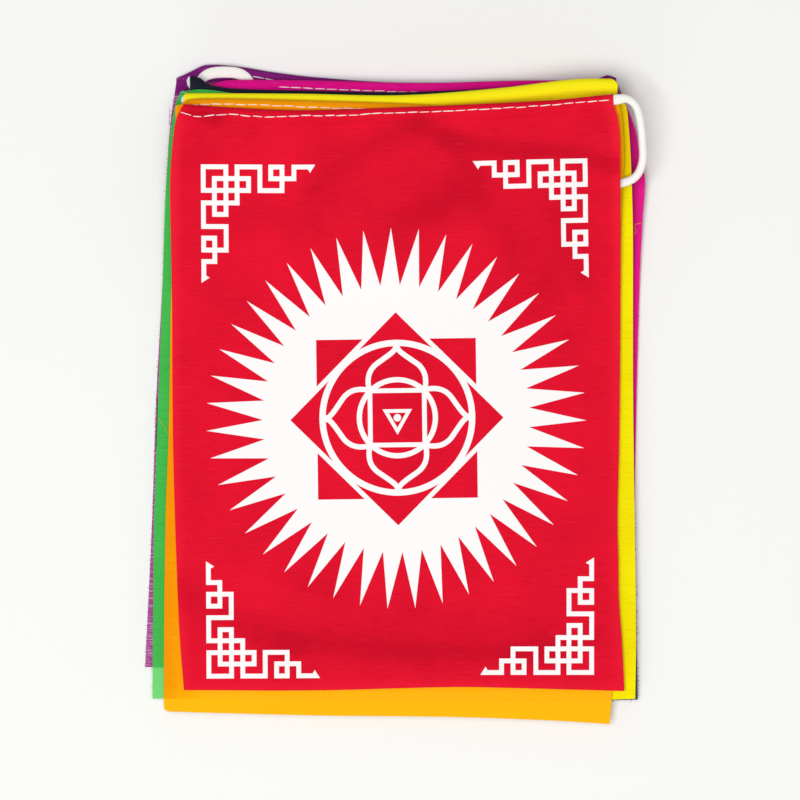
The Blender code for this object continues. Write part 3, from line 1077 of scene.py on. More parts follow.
        # The tone attribute carries the painted shade and the lighter places
        for name, measure in (("backing", self.backing), ("tone", self.painted_tone)):
            stored = mesh.attributes.new(name, "FLOAT", "POINT")
            stored.data.foreach_set("value", measure(*placed.T[:2] / MM))
        edit_all(sheet)
        close_outwards()
        for material in (self.finish.build(), self.finish.build_edge()):
            mesh.materials.append(material)
        wall = sheet.modifiers.new("Cloth", "SOLIDIFY")
        wall.thickness = CLOTH * MM
        wall.offset = 0.0
        wall.material_offset_rim = 1
        apply_all(sheet)
        bpy.ops.object.shade_smooth_by_angle(angle=math.radians(self.SMOOTH_ANGLE))
        settle(sheet, f"{self.shape.name}_cloth")
        set_surface(sheet, self.shape.slot())
        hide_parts(self.shape.name)
        return sheet

    def surface(self, x: float, depth: float) -> Vector:
        """A place on the casing's upper face.

        Args:
            x: the place across.
            depth: how far in from the fold it is.

        Returns:
            The point, in millimetres.
        """
        fold_depth = TUBE_CENTRES[0] - TUBE_RADIUS
        high = [row for row in self.section() if row[1] > 0.0 and row[0] >= fold_depth]
        fold = float(self.shape.fold_line(x))
        lift = float(self.unevenness(np.array([x]), np.array([fold - depth]), fold)[0])
        rise = float(through(high, depth)) + lift
        return Vector((x, fold - depth, self.shape.casing_height() + rise + CLOTH / 2))

    def stitch(self, thread: Material, seam: tuple[Row, ...]) -> Piece:
        """Sews the casing's seam: one stitch modelled once, then copied along the seam.

        Args:
            thread: the sewing thread's material.
            seam: rows of x and of the seam's depth below the fold there.

        Returns:
            The joined stitches.
        """
        deselect()
        bpy.ops.mesh.primitive_uv_sphere_add(segments=8, ring_count=7, radius=1.0)
        model = bpy.context.active_object
        # Blunt ends, where the thread goes down through the cloth
        for vert in model.data.vertices:
            vert.co.x = math.copysign(abs(vert.co.x) ** STITCH_BLUNT, vert.co.x)
        model.scale = (STITCH_LENGTH / 2 * MM, STITCH_WIDTH / 2 * MM, STITCH_WIDTH / 2 * MM)
        bpy.ops.object.transform_apply(scale=True)
        bpy.ops.object.shade_smooth()
        draw = random.Random(self.shape.level + self.STITCH_SEED)
        stitches = []
        x = seam[0][0]
        while x < seam[-1][0]:
            # A stitch runs straight from hole to hole, over what lies between
            behind, here, ahead = (
                self.surface(at, float(through(seam, at)))
                for at in (x - STITCH_REACH, x, x + STITCH_REACH)
            )
            shift = draw.uniform(*self.STITCH_SHIFTS)
            place = (behind + ahead) / 2 + Vector((0.0, shift, 0.0))
            place.z = max(place.z, here.z) + draw.uniform(*self.STITCH_RISES)
            length, width = draw.uniform(*self.STITCH_LENGTHS), draw.uniform(*self.STITCH_WIDTHS)
            along = (ahead - behind).normalized()
            turn = along.to_track_quat("X", "Z").to_euler()
            turn.z += draw.uniform(*self.STITCH_TURNS)
            stitches.append(copy_of(model, place * MM, turn, (length, width, 1.0)))
            x += (STITCH_PITCH + draw.uniform(*self.STITCH_GAPS)) * along.x
        bpy.data.objects.remove(model)
        sewn = join(stitches, f"{self.shape.name}_seam_stitches")
        return set_surface(sewn, "cord_white", thread)


@dataclass
class SunburstPrint:
    """The white print on the red flag: a sunburst round a square, diamond and petals, and knots.

    Its sizes are in millimetres. The centre's sign is left as plain geometry.
    """

    cloth: FlagCloth
    ink: PrintInk
    centre: Row = (0.85, -8.55)
    star_centre: Row = (0.6, -8.5)
    turn: float = 0.75
    rays: int = 43
    tip_radius: float = 65.5
    valley_radius: float = 45.9
    tip_turn: float = -1.27
    valley_turn: float = -0.18
    square_half: float = 27.5
    diamond_half: float = 36.7
    band: float = 1.6
    lines_shift: Row = (0.15, 0.38)
    ring_radius: float = 26.85
    ring_line: float = 2.15
    line: float = 1.8
    inner_radius: float = 14.0
    frame_half: float = 10.15
    frame_line: float = 1.6
    sign_radius: float = 5.9
    sign_line: float = 1.25
    dot_radius: float = 1.3
    lift: float = 0.07
    film: float = 0.04
    cell: float = 1.3
    smooth_angle: float = 40.0
    made: list[Piece] = field(default_factory=list)

    # Half of the upper petal's line, from its tip down to the frame's corner
    PETAL = (
        (0.1, 25.2), (0.5, 23.6), (2.3, 21.9), (5.1, 19.9),
        (7.8, 17.9), (9.4, 15.5), (9.9, 13.0), (9.8, 10.8), (9.5, 9.4),
    )
    KNOT_PITCH = (3.87, 4.03)
    KNOT_LINE = 1.62
    KNOT_UNEVEN = 0.13
    KNOT_LINES = 9
    # Its ends' hooks: how far each runs past the grid to its tip, its barb's place and its depth
    HOOK_TIP = 6.5
    HOOK_BARB = (4.7, 2.0)
    HOOK_BACK = 4.0
    KNOT_RUNS = (
        ((0, 0), (2, 0), (2, 4), (1, 4), (1, 1), (4, 1), (4, 2), (0, 2), (0, 0)),
        ((3, 0), (5, 0), (5, 2), (7, 2), (7, 0), (6, 0), (6, 1), (8, 1), (8, 0)),
        ((3, 0), (3, 3), (0, 3), (0, 5), (2, 5), (2, 7), (0, 7), (0, 6), (1, 6), (1, 8), (0, 8)),
    )
    # Each corner's knot: x and y of its outer lines' crossing, its ways in x and y, and its turn
    KNOTS = (
        (-65.4, 77.7, 1, -1, -0.3), (65.1, 79.7, -1, -1, 1.4),
        (-63.9, -97.2, 1, 1, 0.3), (67.9, -95.9, -1, 1, 0.0),
    )

    def polygon(self, outline: list[Row], name: str, cut: float = 0.0) -> Piece:
        """A flat shape from its outline, filled, or only its line if cut is the line's width.

        Args:
            outline: the corners, going round.
            name: the shape's name.
            cut: the line's width, or 0 for a filled shape.

        Returns:
            The shape as a slab one millimetre thick, in millimetres.
        """
        deselect()
        bpy.ops.mesh.primitive_circle_add(vertices=len(outline), radius=1.0, fill_type="NGON")
        shape = bpy.context.active_object
        for vert, (x, y) in zip(shape.data.vertices, outline):
            vert.co = (x, y, 0.0)
        edit_all(shape)
        if cut:
            bpy.ops.mesh.inset(thickness=cut)
            bpy.ops.mesh.delete(type="FACE")
            bpy.ops.mesh.select_all(action="SELECT")
        bpy.ops.mesh.extrude_region_move(TRANSFORM_OT_translate={"value": (0.0, 0.0, 1.0)})
        close_outwards()
        shape.name = name
        return shape

    @staticmethod
    def circle(radius: float, sides: int, start: float = 0.0) -> list[Row]:
        """The corners of a regular outline round the origin."""
        turns = [start + 2 * math.pi * n / sides for n in range(sides)]
        return [(radius * math.cos(a), radius * math.sin(a)) for a in turns]

    def combine(self, base: Piece, other: Piece, how: str) -> Piece:
        """Joins a slab to another or cuts it out.

        Args:
            base: the slab that is kept.
            other: the slab that goes into it.
            how: UNION or DIFFERENCE.

        Returns:
            The first slab, changed.
        """
        cut = base.modifiers.new("Cut", "BOOLEAN")
        cut.operation = how
        cut.solver = "EXACT"
        cut.use_self = how == "UNION"
        cut.object = other
        apply_all(base)
        bpy.data.objects.remove(other)
        return base

    def ribbon(self, line: list[Row], width: float) -> list[Row]:
        """The outline of a drawn line.

        Args:
            line: the points along its middle.
            width: the line's width.

        Returns:
            The outline's corners, going round.
        """
        sides = ([], [])
        for n, point in enumerate(line):
            ahead, behind = Vector(line[min(n + 1, len(line) - 1)]), Vector(line[max(n - 1, 0)])
            along = (ahead - behind).normalized()
            across = Vector((-along.y, along.x)) * width / 2
            for side, way in zip(sides, (1, -1)):
                side.append(tuple(Vector(point) + across * way))
        return sides[0] + sides[1][::-1]

    def petal_half(self, quarter: int, mirror: int) -> list[Row]:
        """The outline of one half of one lotus petal's line.

        Args:
            quarter: which petal, in quarter turns from the upper one.
            mirror: 1 or -1, for its right or left half.

        Returns:
            The outline's corners.
        """
        turn = quarter * math.pi / 2
        shift_x, shift_y = self.lines_shift
        line = [
            (
                shift_x + mirror * x * math.cos(turn) - y * math.sin(turn),
                shift_y + mirror * x * math.sin(turn) + y * math.cos(turn),
            )
            for x, y in spaced(self.PETAL, 1.2)
        ]
        return self.ribbon(line, self.line)

    def centre_piece(self) -> Piece:
        """The yantra's lines and the sunburst round it, as one slab.

        Returns:
            The slab, round its own middle.
        """
        eighth, corner = math.pi / 4, math.sqrt(2)
        slab = self.polygon(self.star_outline(), "sunburst")
        square = self.polygon(self.circle(self.square_half * corner, 4, eighth), "square")
        gap = self.polygon(self.circle(self.diamond_half + self.band * corner, 4), "gap")
        diamond = self.polygon(self.circle(self.diamond_half, 4), "diamond")
        for cutter in (self.combine(square, gap, "DIFFERENCE"), diamond):
            slab = self.combine(slab, cutter, "DIFFERENCE")
        rings = (
            (self.circle(self.ring_radius, 120), self.ring_line),
            (self.circle(self.inner_radius, 72), self.line),
            (self.circle(self.frame_half * corner, 4, eighth), self.frame_line),
            (self.circle(self.sign_radius, 3, -math.pi / 2), self.sign_line),
            (self.circle(self.dot_radius, 20), 0.0),
        )
        shift_x, shift_y = self.lines_shift
        for outline, cut in rings:
            placed = [(x + shift_x, y + shift_y) for x, y in outline]
            slab = self.combine(slab, self.polygon(placed, "line", cut=cut), "UNION")
        halves = [
            self.polygon(self.petal_half(quarter, mirror), "petal")
            for quarter in range(4)
            for mirror in (1, -1)
        ]
        petals = halves[0]
        for half in halves[1:]:
            petals = self.combine(petals, half, "UNION")
        return self.combine(slab, petals, "UNION")

    def star_outline(self) -> list[Row]:
        """The sunburst's outline, ray by ray, round the yantra's middle; the tips lean a little.

        Returns:
            The corners, going round.
        """
        shift_x, shift_y = (self.star_centre[i] - self.centre[i] for i in (0, 1))
        corners = ((self.tip_radius, self.tip_turn), (self.valley_radius, self.valley_turn))
        outline = []
        for n in range(2 * self.rays):
            radius, lean = corners[n % 2]
            angle = math.pi * n / self.rays + math.radians(lean)
            outline.append((shift_x + radius * math.cos(angle), shift_y + radius * math.sin(angle)))
        return outline

    def knot(self, place: Row, seed: int) -> Piece:
        """One corner's key knot, with its two pointed ends, cut out of an uneven grid.

        Args:
            place: its corner's x and y, the way that it runs in x and y, and its turn in degrees.
            seed: the seed of its unevenness.

        Returns:
            The knot, flat.
        """
        corner_x, corner_y, way_x, way_y, turn = place
        half = self.KNOT_LINE / 2
        draw = random.Random(seed)
        lines = []
        for pitch in self.KNOT_PITCH:
            middles = [
                pitch * n + (draw.uniform(-1, 1) * self.KNOT_UNEVEN if n else 0.0)
                for n in range(self.KNOT_LINES)
            ]
            lines.append([middle + way * half for middle in middles for way in (-1, 1)])
        inked = set()
        for run in self.KNOT_RUNS:
            for a, b in zip(run, run[1:]):
                for i in range(2 * min(a[0], b[0]), 2 * max(a[0], b[0]) + 1):
                    for j in range(2 * min(a[1], b[1]), 2 * max(a[1], b[1]) + 1):
                        inked.add((i, j))
        deselect()
        cells = 2 * self.KNOT_LINES - 1
        bpy.ops.mesh.primitive_grid_add(x_subdivisions=cells, y_subdivisions=cells, size=cells)
        knot = bpy.context.active_object
        bm = bmesh.new()
        bm.from_mesh(knot.data)
        bare = []
        for face in bm.faces:
            middle = face.calc_center_median()
            if (math.floor(middle.x + cells / 2), math.floor(middle.y + cells / 2)) not in inked:
                bare.append(face)
        bmesh.ops.delete(bm, geom=bare, context="FACES")
        for vert in bm.verts:
            i, j = round(vert.co.x + cells / 2), round(vert.co.y + cells / 2)
            vert.co = (lines[0][i], lines[1][j], 0.0)
        # Each end runs on along its outer edge to a point, with a barb on its inner side
        for axis in (0, 1):
            end = lines[axis][cells]
            barb = (end + self.HOOK_BARB[0], self.HOOK_BARB[1])
            tip, back = end + self.HOOK_TIP, end + self.HOOK_BACK
            hook = [(end, -half), (tip, -half), barb, (back, half), (end, half)]
            corners = [bm.verts.new((p[axis], p[1 - axis], 0.0)) for p in hook]
            bm.faces.new(corners)
        bmesh.ops.remove_doubles(bm, verts=bm.verts, dist=1e-4)
        cos, sin = math.cos(math.radians(turn)), math.sin(math.radians(turn))
        for vert in bm.verts:
            x, y = vert.co.x * way_x, vert.co.y * way_y
            vert.co = (corner_x + x * cos - y * sin, corner_y + x * sin + y * cos, 0.0)
        bm.to_mesh(knot.data)
        bm.free()
        return knot

    def lay(self, print_face: Piece, name: str, ink: Material) -> None:
        """Keeps a shape's top face, cuts it into cells, lays it on the red flag and dresses it.

        Args:
            print_face: the shape, in millimetres, in place as seen from above.
            name: the piece's name.
            ink: its material.
        """
        settle(print_face, name)
        bm = bmesh.new()
        bm.from_mesh(print_face.data)
        top = max(vert.co.z for vert in bm.verts)
        lower = [face for face in bm.faces if min(vert.co.z for vert in face.verts) < top - 1e-3]
        bmesh.ops.delete(bm, geom=lower, context="FACES")
        turned = [face for face in bm.faces if face.normal.z < 0]
        bmesh.ops.reverse_faces(bm, faces=turned)
        for axis in (0, 1):
            low = min(vert.co[axis] for vert in bm.verts)
            high = max(vert.co[axis] for vert in bm.verts)
            for n in range(math.ceil(low / self.cell), math.floor(high / self.cell) + 1):
                place, normal = [0.0] * 3, [0.0] * 3
                place[axis], normal[axis] = n * self.cell, 1.0
                geom = bm.verts[:] + bm.edges[:] + bm.faces[:]
                bmesh.ops.bisect_plane(bm, geom=geom, plane_co=place, plane_no=normal, dist=1e-4)
        bmesh.ops.triangulate(bm, faces=bm.faces)
        uv = bm.loops.layers.uv.verify()
        for face in bm.faces:
            for loop in face.loops:
                loop[uv].uv = (loop.vert.co.x / UV_TILE, loop.vert.co.y / UV_TILE)
        x = np.array([vert.co.x for vert in bm.verts])
        y = np.array([vert.co.y for vert in bm.verts])
        z = sheet_height(RED.level, x, y) + self.cloth.unevenness(x, y, RED.fold_line(x))
        for vert, height in zip(bm.verts, z + CLOTH / 2 + self.lift):
            vert.co = (vert.co.x * MM, vert.co.y * MM, height * MM)
        bm.to_mesh(print_face.data)
        bm.free()
        film = print_face.modifiers.new("Film", "SOLIDIFY")
        film.thickness = self.film * MM
        film.offset = -1.0
        apply_all(print_face)
        bpy.ops.object.shade_smooth_by_angle(angle=math.radians(self.smooth_angle))
        self.made.append(set_surface(print_face, "cloth_red", ink))

    def build(self) -> list[Piece]:
        """Models the whole print and lays it on the flag.

        Returns:
            The sunburst and the four knots.
        """
        ink = self.ink.build()
        middle = self.centre_piece()
        middle.location = (*self.centre, 0.0)
        middle.rotation_euler = (0.0, 0.0, math.radians(self.turn))
        self.lay(middle, "red_print_sunburst", ink)
        for n, place in enumerate(self.KNOTS):
            self.lay(self.knot(place, seed=n + 3), f"red_print_corner_{n}", ink)
        return self.made


@dataclass
class CottonCord:
    """The white cotton cord: two free tails, and the stretch that the casings hold between them.

    Half widths and half heights are in millimetres. A casing or a flag presses the soft cord flat.
    """

    finish: SoftCotton
    sides: int = 16
    step: float = 1.3
    casing_half: Row = (1.35, 0.66)
    under_half: Row = (1.5, 0.9)
    loop_half: Row = (1.4, 1.3)
    lip_half: Row = (1.75, 1.1)
    # How far below the fold the loop leaves its casing, and how far in from the mouth it starts
    mouth_depth: float = 1.95
    start_depth: float = 7.0
    # How high the cord's middle lies over the flag below it, and the second tail's half heights
    over_flag: float = 1.9
    over_casing: float = 0.7
    pressed: float = 0.75
    # Where the casings' stretch starts, in from the red mouth, and ends; its points in each casing
    stretch_start: float = 8.5
    stretch_end: float = -66.0
    casing_points: int = 14
    # A turn drops before it runs out, and dips under the cloth of a casing that faces up
    turn_ease: float = 2.5
    turn_dip: float = 1.0
    smooth_angle: float = 60.0
    diameter: float = 0.0032

    # A turn's points between two casings, in degrees
    TURN_ANGLES = (45, 90, 135)
    # The cord lies where its rise is below this, and keeps this much of its tilt at each step
    LYING = 0.5
    TILT_KEPT = 0.6

    def tail_one(self) -> list[Row]:
        """The first tail, from its casing to its hidden end.

        Returns:
            Rows of x, y, z, half width and half height.
        """
        height, edge, fold = RED.casing_height(), RED.mouth(End.RIGHT), RED.fold[-1][1]
        rows = []
        for x, y in spaced(TAIL_ONE_UNDER_RED, 6.0, after=LOOP[0][:2]):
            under = float(sheet_height(RED.level - 1, x, y))
            rows.append((x, y, under + self.over_flag, *self.under_half))
        rows += [(*point, *self.loop_half) for point in LOOP]
        rows.append((edge, fold - self.mouth_depth, height, *self.lip_half))
        rows.append((edge - self.start_depth, fold - CORD_DEPTH, height, *self.casing_half))
        return rows[::-1]

    def tail_two(self) -> list[Row]:
        """The second tail, from the purple casing's left end over the casing to its hidden end.

        Returns:
            Rows of x, y, z, half width and half height.
        """
        start = LAST_TURN[-1]
        rows = [start]
        for x, y, half in TAIL_TWO_OVER_PURPLE:
            rows.append((x, y, start[2], half, self.over_casing))
        for x, y in spaced(TAIL_TWO_UNDER_MAGENTA, 6.0, before=rows[-1][:2]):
            middle = float(sheet_height(0, x, y) + sheet_height(1, x, y)) / 2
            rows.append((x, y, min(start[2], middle), self.under_half[0], self.pressed))
        return rows

    def casings(self) -> list[Row]:
        """The stretch in the casings, from the red one's right end past the purple one's left.

        Returns:
            Rows of x, y, z, half width and half height.
        """
        rows = []
        ends = [RED.mouth(End.RIGHT) - self.stretch_start, *TURN_X, self.stretch_end]
        for n, shape in enumerate(STACK[::-1]):
            way = -1 if n % 2 == 0 else 1
            first = ends[n] if n == 0 else ends[n] + way * TURN_REACH
            last = ends[n + 1] if shape is PURPLE else ends[n + 1] - way * TURN_REACH
            for x in np.linspace(first, last, self.casing_points):
                y = float(shape.fold_line(x)) - CORD_DEPTH
                rows.append((float(x), y, shape.casing_height()))
            if shape is PURPLE:
                break
            start, below = rows[-1], STACK[shape.level - 1]
            y, z = float(below.fold_line(last)) - CORD_DEPTH, below.casing_height()
            for angle in self.TURN_ANGLES:
                part = (1 - math.cos(math.radians(angle))) / 2
                x = last + way * TURN_REACH * math.sin(math.radians(angle))
                down = start[2] + (z - start[2]) * (1 - (1 - part) ** self.turn_ease)
                if below.facing is Facing.UP:
                    down -= self.turn_dip * math.sin(math.pi * part)
                rows.append((x, start[1] + (y - start[1]) * part**2, down))
        return [(*row, *self.casing_half) for row in rows] + [*LAST_TURN]

    def tube(self, rows: list[Row], name: str) -> tuple[Piece, list[Vector]]:
        """A soft tube along a route, as wide and as thick as the route says.

        Args:
            rows: x, y, z, half width and half height.
            name: the piece's name.

        Returns:
            The tube and its centreline, in metres.
        """
        line = spaced(rows, self.step)
        last = len(line) - 1
        deselect()
        bpy.ops.mesh.primitive_grid_add(x_subdivisions=last, y_subdivisions=self.sides, size=1.0)
        tube = bpy.context.active_object
        verts = sorted(tube.data.vertices, key=lambda v: (round(v.co.x, 5), round(v.co.y, 5)))
        centres = [Vector(row[:3]) for row in line]
        wide = Vector((0.0, 1.0, 0.0))
        for i, (centre, row) in enumerate(zip(centres, line)):
            along = (centres[min(i + 1, last)] - centres[max(i - 1, 0)]).normalized()
            wide = (wide - wide.dot(along) * along).normalized()
            if abs(along.z) < self.LYING:
                # Where the cord lies, its wide side turns level
                wide.z *= self.TILT_KEPT
                wide = (wide - wide.dot(along) * along).normalized()
            thick = along.cross(wide)
            for j in range(self.sides + 1):
                angle = 2 * math.pi * j / self.sides
                offset = wide * math.cos(angle) * row[3] + thick * math.sin(angle) * row[4]
                verts[i * (self.sides + 1) + j].co = (centre + offset) * MM
        edit_all(tube)
        bpy.ops.mesh.remove_doubles(threshold=0.01 * MM)
        bpy.ops.mesh.select_all(action="DESELECT")
        bpy.ops.mesh.select_non_manifold()
        bpy.ops.mesh.fill_holes(sides=0)
        close_outwards()
        bpy.ops.object.shade_smooth_by_angle(angle=math.radians(self.smooth_angle))
        return settle(tube, name), [centre * MM for centre in centres]

    def build(self) -> list[Piece]:
        """Models the cord's three stretches.

        Returns:
            The pieces.
        """
        cotton = self.finish.build()
        made = []
        for rows, name in (
            (self.tail_one(), "cord_tail_with_loop"),
            (self.tail_two(), "cord_tail_over_casing"),
            (self.casings(), "cord_in_casings"),
        ):
            piece, path = self.tube(rows, name)
            set_surface(piece, "cord_white", cotton)
            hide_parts("cord")
            made.append(piece)
        return made


@dataclass
class Studio:
    """A white table under soft light, and a camera straight above it."""

    table: Tabletop
    fill: float = 0.25
    # Each soft box: its name, its place and its sides' length in metres, and its power in watts
    boxes: tuple = (
        ("overhead_light", (-0.2, -0.2, 2.2), 1.0, 39.5),
        ("low_light", (-0.35, -1.25, 0.62), 0.6, 2.4),
    )

    def build(self) -> None:
        """Adds the floor, the lights, the world and the camera."""
        deselect()
        bpy.ops.mesh.primitive_plane_add(size=6.0)
        floor = settle(bpy.context.active_object, "table_top")
        floor.data.materials.append(self.table.build())
        for box in self.boxes:
            self.light(*box)
        world = bpy.data.worlds.new("studio")
        world.use_nodes = True
        background = world.node_tree.nodes["Background"]
        background.inputs["Color"].default_value = (1.0, 1.0, 1.0, 1.0)
        background.inputs["Strength"].default_value = self.fill
        bpy.context.scene.world = world
        camera = bpy.data.cameras.new("camera")
        camera.sensor_width = 36.0
        camera.lens = camera.sensor_width * (CAMERA_HEIGHT - RED_HEIGHT) / FRAME_WIDTH
        camera.clip_end = 20.0
        view = bpy.data.objects.new("camera", camera)
        view.location = (CAMERA_X * MM, CAMERA_Y * MM, CAMERA_HEIGHT * MM)
        bpy.context.collection.objects.link(view)
        bpy.context.scene.camera = view
        # The plain display keeps the dyes as deep as they are
        bpy.context.scene.view_settings.view_transform = "Standard"

    @staticmethod
    def light(name: str, place: Row, size: float, power: float) -> None:
        """A square soft box that faces the flags.

        Args:
            name: its name.
            place: where it hangs, in metres.
            size: the length of its sides, in metres.
            power: its power, in watts.
        """
        lamp = bpy.data.lights.new(name, "AREA")
        lamp.energy = power
        lamp.size = size
        hung = bpy.data.objects.new(name, lamp)
        hung.location = place
        hung.rotation_euler = (-Vector(place)).to_track_quat("-Z", "Y").to_euler()
        bpy.context.collection.objects.link(hung)


def top_height(x: float, y: float) -> float:
    """The height of the uppermost cloth at a place, or of the table.

    Args:
        x: the place across.
        y: the place along.

    Returns:
        The height of its upper face, in millimetres.
    """
    height = 0.0
    for shape in STACK:
        if float(shape.depth_inside(np.array(x), np.array(y))) > 0:
            height = float(sheet_height(shape.level, x, y)) + CLOTH / 2
    return height


@dataclass
class FrayedEdge:
    """Thread ends that stand out of a cut edge: one modelled once, then copied along the edge."""

    shape: FlagShape
    side: int
    low: float
    high: float
    spacing: float
    longest: float
    yarn: SoftCotton
    radius: float = 0.09
    rooted: float = 0.3

    # What each thread draws: its share of the longest, its lean on a side and on the hem, its
    # height and rise, and its share of the spacing
    LENGTHS = (0.15, 1.0)
    SIDE_LEANS = (-0.7, 0.7)
    HEM_LEANS = (-0.6, 0.6)
    HEIGHTS = (-0.1, 0.12)
    RISES = (-0.15, 0.1)
    GAPS = (0.5, 1.5)
    SEED = 7

    def build(self) -> Piece:
        """Models the thread ends along the left (-1) or right (1) side, or along the hem (0).

        Returns:
            The joined threads.
        """
        draw = random.Random(100 * self.shape.level + self.side + self.SEED)
        deselect()
        bpy.ops.mesh.primitive_cone_add(
            vertices=5, radius1=self.radius, radius2=self.radius * 0.5, depth=1.0,
            location=(0.0, 0.0, 0.5),
        )
        model = bpy.context.active_object
        pick(model)
        bpy.ops.object.transform_apply(location=True)
        ends = []
        at = self.low
        while at < self.high:
            length = self.longest * draw.uniform(*self.LENGTHS) ** 2
            if self.side:
                place = Vector((float(self.shape.side((self.side + 1) / 2, at)), at, 0.0))
                out = Vector((self.side, draw.uniform(*self.SIDE_LEANS), 0.0))
            else:
                place = Vector((at, float(through(self.shape.hem, at)), 0.0))
                out = Vector((draw.uniform(*self.HEM_LEANS), -1.0, 0.0))
            surface = float(sheet_height(self.shape.level, place.x, place.y))
            place.z = surface + draw.uniform(*self.HEIGHTS)
            out.z = draw.uniform(*self.RISES)
            root = (place - out.normalized() * self.rooted) * MM
            turn = out.to_track_quat("Z", "Y").to_euler()
            ends.append(copy_of(model, root, turn, (MM, MM, (length + self.rooted) * MM)))
            at += self.spacing * draw.uniform(*self.GAPS)
        bpy.data.objects.remove(model)
        where = {-1: "left", 0: "hem", 1: "right"}[self.side]
        frayed = join(ends, f"{self.shape.name}_frayed_{where}")
        return set_surface(frayed, self.shape.slot(), self.yarn.build())


@dataclass
class LooseThread:
    """A pulled weft or warp thread that lies in a curl over the edge."""

    name: str
    owner: FlagShape
    points: tuple[Row, ...]
    yarn: SoftCotton
    radius: float = 0.13

    def build(self) -> Piece:
        """Models the thread as a thin tube that lies on what is below it.

        Returns:
            The thread.
        """
        line = spaced(self.points, 0.8)
        curve = bpy.data.curves.new(self.name, "CURVE")
        curve.dimensions = "3D"
        curve.bevel_depth = self.radius * MM
        curve.bevel_resolution = 1
        curve.use_fill_caps = True
        spline = curve.splines.new("POLY")
        spline.points.add(len(line) - 1)
        heights = [top_height(x, y) for x, y in line]
        for n, (point, (x, y)) in enumerate(zip(spline.points, line)):
            near = heights[max(n - 2, 0) : n + 3]
            height = max(sum(near) / len(near), heights[n]) + self.radius
            point.co = (x * MM, y * MM, height * MM, 1.0)
        thread = bpy.data.objects.new(self.name, curve)
        bpy.context.collection.objects.link(thread)
        pick(thread)
        bpy.ops.object.convert(target="MESH")
        thread = bpy.context.active_object
        bpy.ops.object.shade_smooth()
        return set_surface(settle(thread, self.name), self.owner.slot(), self.yarn.build())


# Each flag's seam, as x and the depth below the fold there, where it shows
SEAMS = {
    "flag_red": (
        (-71.2, 2.9), (-69.8, 3.7), (-68.1, 4.2), (-65.4, 4.0), (-64.0, 3.4), (-60.3, 2.9),
        (-56.2, 2.5), (-47.6, 2.75), (-42.5, 2.7), (-32.0, 2.0), (-15.0, 2.2), (-5.0, 1.9),
        (19.0, 2.1), (33.0, 1.9), (43.0, 1.9), (55.0, 1.7), (64.0, 1.75), (74.5, 2.05),
    ),
    "flag_orange": ((-69.0, 2.2), (-60.0, 2.1), (-40.0, 2.2), (-25.0, 2.5), (0.0, 2.4)),
    "flag_magenta": ((-38.0, 2.6), (-10.0, 3.2), (21.0, 3.4)),
    "flag_purple": ((-47.0, 2.7), (-36.0, 2.8)),
}
RED_DENTS = (
    (-68.0, 96.3, 5.0, 0.8, -0.7), (-69.5, 93.2, 3.5, 1.3, 0.6), (-62.0, 92.4, 3.0, 1.5, 0.4),
)

# Each cloth: name, dye colour, deep colour (slubs, clouds and painted shade), pale colour over the
# bare table, edge colour (cut threads, light slubs and painted lighter places)
CLOTHS = (
    FlagCloth(
        RED, CottonCloth("red_cotton", "e4122e", "c60a26", "f0405a", "f63c48"),
        cell=1.5, mouth_facings=(-1, 0), dents=RED_DENTS, tone_lines=RED_PAINTED_SHADE, selvedge=0.45,
    ),
    FlagCloth(
        ORANGE, CottonCloth("orange_cotton", "f8ad07", "f09204", "fcb80f", "fdc620"),
        mouth_facings=(1, -1), tone_lines=ORANGE_PAINTED_SHADE_AND_PALE_BAND,
    ),
    FlagCloth(
        YELLOW, CottonCloth("yellow_cotton", "f4ea06", "e4ca04", "fcec1c", "fffa2c"),
        mouth_facings=(-1, 0), round_end=4.2, tone_lines=YELLOW_PAINTED_SHADE_AND_LIGHT,
    ),
    FlagCloth(
        GREEN, CottonCloth("green_cotton", "46bb51", "36a842", "72d577", "80d888"),
        mouth_facings=(1, -1),
    ),
    FlagCloth(
        NAVY, CottonCloth("navy_cotton", "202434", "14161f", "4c5064", "4c5068"),
        mouth_facings=(-1, 1),
    ),
    FlagCloth(
        MAGENTA, CottonCloth("magenta_cotton", "e8108e", "cc0878", "e81c8c", "ee60b0"),
        mouth_facings=(1, -1),
    ),
    FlagCloth(
        PURPLE,
        CottonCloth("purple_cotton", "86207e", "661464", "a64a90", "b878b2", open_weave=0.36),
        mouth_facings=(1, 0),
    ),
)

YARNS = {
    name: SoftCotton(f"{name}_yarn", colour, shadow, grain=0.5)
    for name, colour, shadow in (
        ("frayed_purple", "b070b0", "8c4a90"),
        ("frayed_green", "6cc878", "48b058"),
        ("frayed_orange", "f0a030", "e08a18"),
        ("frayed_navy", "3a3c4c", "20222e"),
        ("frayed_magenta", "d86ab0", "c04898"),
        ("frayed_red", "f2a0aa", "ea5868"),
        ("yellow_green", "b8c020", "98a818"),
        ("pale_lilac", "e8d8e8", "d8c0d8"),
    )
}
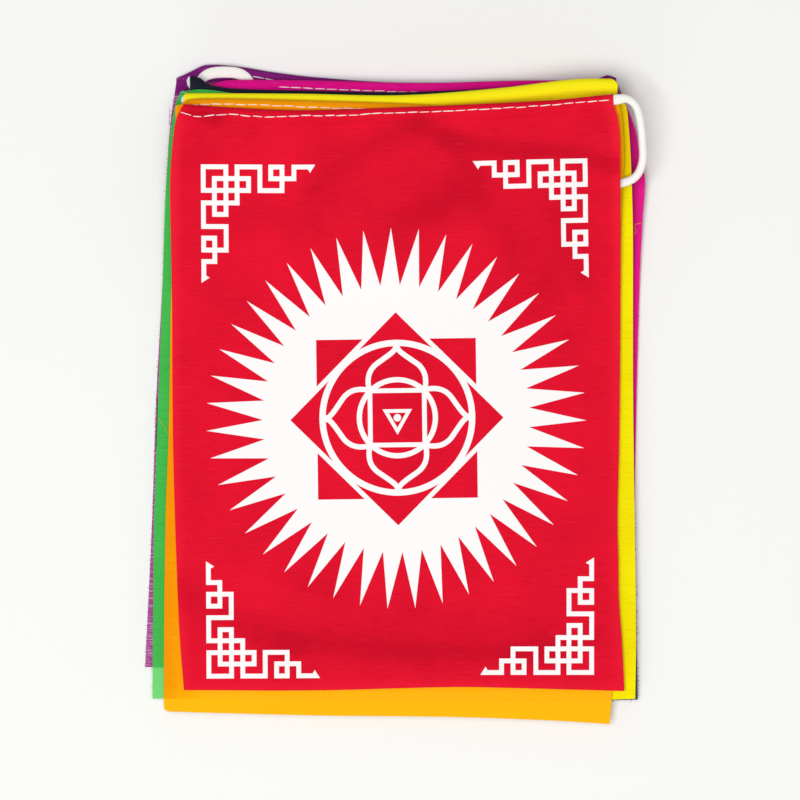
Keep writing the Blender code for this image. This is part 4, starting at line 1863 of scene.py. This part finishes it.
# Each frayed edge: its flag and side, from where to where, spacing, longest thread and yarn
FRAYED = (
    (PURPLE, -1, -94.0, 102.0, 1.3, 0.7, "frayed_purple"),
    (PURPLE, 0, -84.0, -66.0, 0.9, 1.0, "frayed_purple"),
    (GREEN, -1, -104.0, 92.0, 2.6, 0.9, "frayed_green"),
    (GREEN, 0, -83.0, -66.0, 1.5, 0.8, "frayed_green"),
    (ORANGE, -1, -104.0, 90.0, 5.0, 0.7, "frayed_orange"),
    (NAVY, 1, -104.0, -40.0, 1.1, 1.1, "frayed_navy"),
    (NAVY, 0, 60.0, 83.5, 1.6, 1.2, "frayed_navy"),
    (MAGENTA, 1, -10.0, 92.0, 2.4, 0.5, "frayed_magenta"),
    (RED, 0, -72.0, 78.5, 2.4, 0.35, "frayed_red"),
)
# Each loose thread: its name, the flag that it comes from, its points and its yarn
LOOSE = (
    (
        "loose_orange_thread", MAGENTA,
        ((85.1, 59.0), (83.2, 58.6), (82.7, 57.7), (83.4, 56.5), (82.8, 55.1)), "frayed_orange",
    ),
    (
        "loose_purple_thread", PURPLE,
        ((76.5, 108.3), (77.2, 106.6), (78.1, 104.6), (78.6, 103.2)), "frayed_navy",
    ),
    (
        "loose_green_thread", GREEN,
        ((-81.4, -8.2), (-80.4, -9.9), (-79.2, -11.5), (-78.2, -13.8)), "yellow_green",
    ),
    (
        "loose_dark_thread", PURPLE,
        ((-82.3, -1.4), (-82.0, -3.8), (-82.0, -7.6), (-82.5, -18.6)), "frayed_navy",
    ),
    ("loose_pale_thread", PURPLE, ((-77.9, 98.9), (-77.9, 93.7), (-77.0, 92.3)), "pale_lilac"),
)


def main() -> None:
    """Builds the whole scene, in order, and reports each piece."""
    logging.basicConfig(level=logging.INFO, format="%(message)s")
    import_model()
    Studio(Tabletop()).build()
    pieces = CottonCord(SoftCotton("white_cotton_cord", "fdfcf8", "f2f0e9")).build()
    pieces += [flag.build() for flag in CLOTHS]
    thread = SoftCotton("white_sewing_thread", "fffefa", "f4ece8", grain=0.4).build()
    flags = {flag.shape.name: flag for flag in CLOTHS}
    pieces += [flags[name].stitch(thread, seam) for name, seam in SEAMS.items()]
    pieces += SunburstPrint(flags["flag_red"], PrintInk()).build()
    pieces += [FrayedEdge(*row, YARNS[yarn]).build() for *row, yarn in FRAYED]
    pieces += [LooseThread(*row, YARNS[yarn]).build() for *row, yarn in LOOSE]
    for piece in pieces:
        LOG.info("%s: %d faces", piece.name, len(piece.data.polygons))


if __name__ == "__main__":
    main()
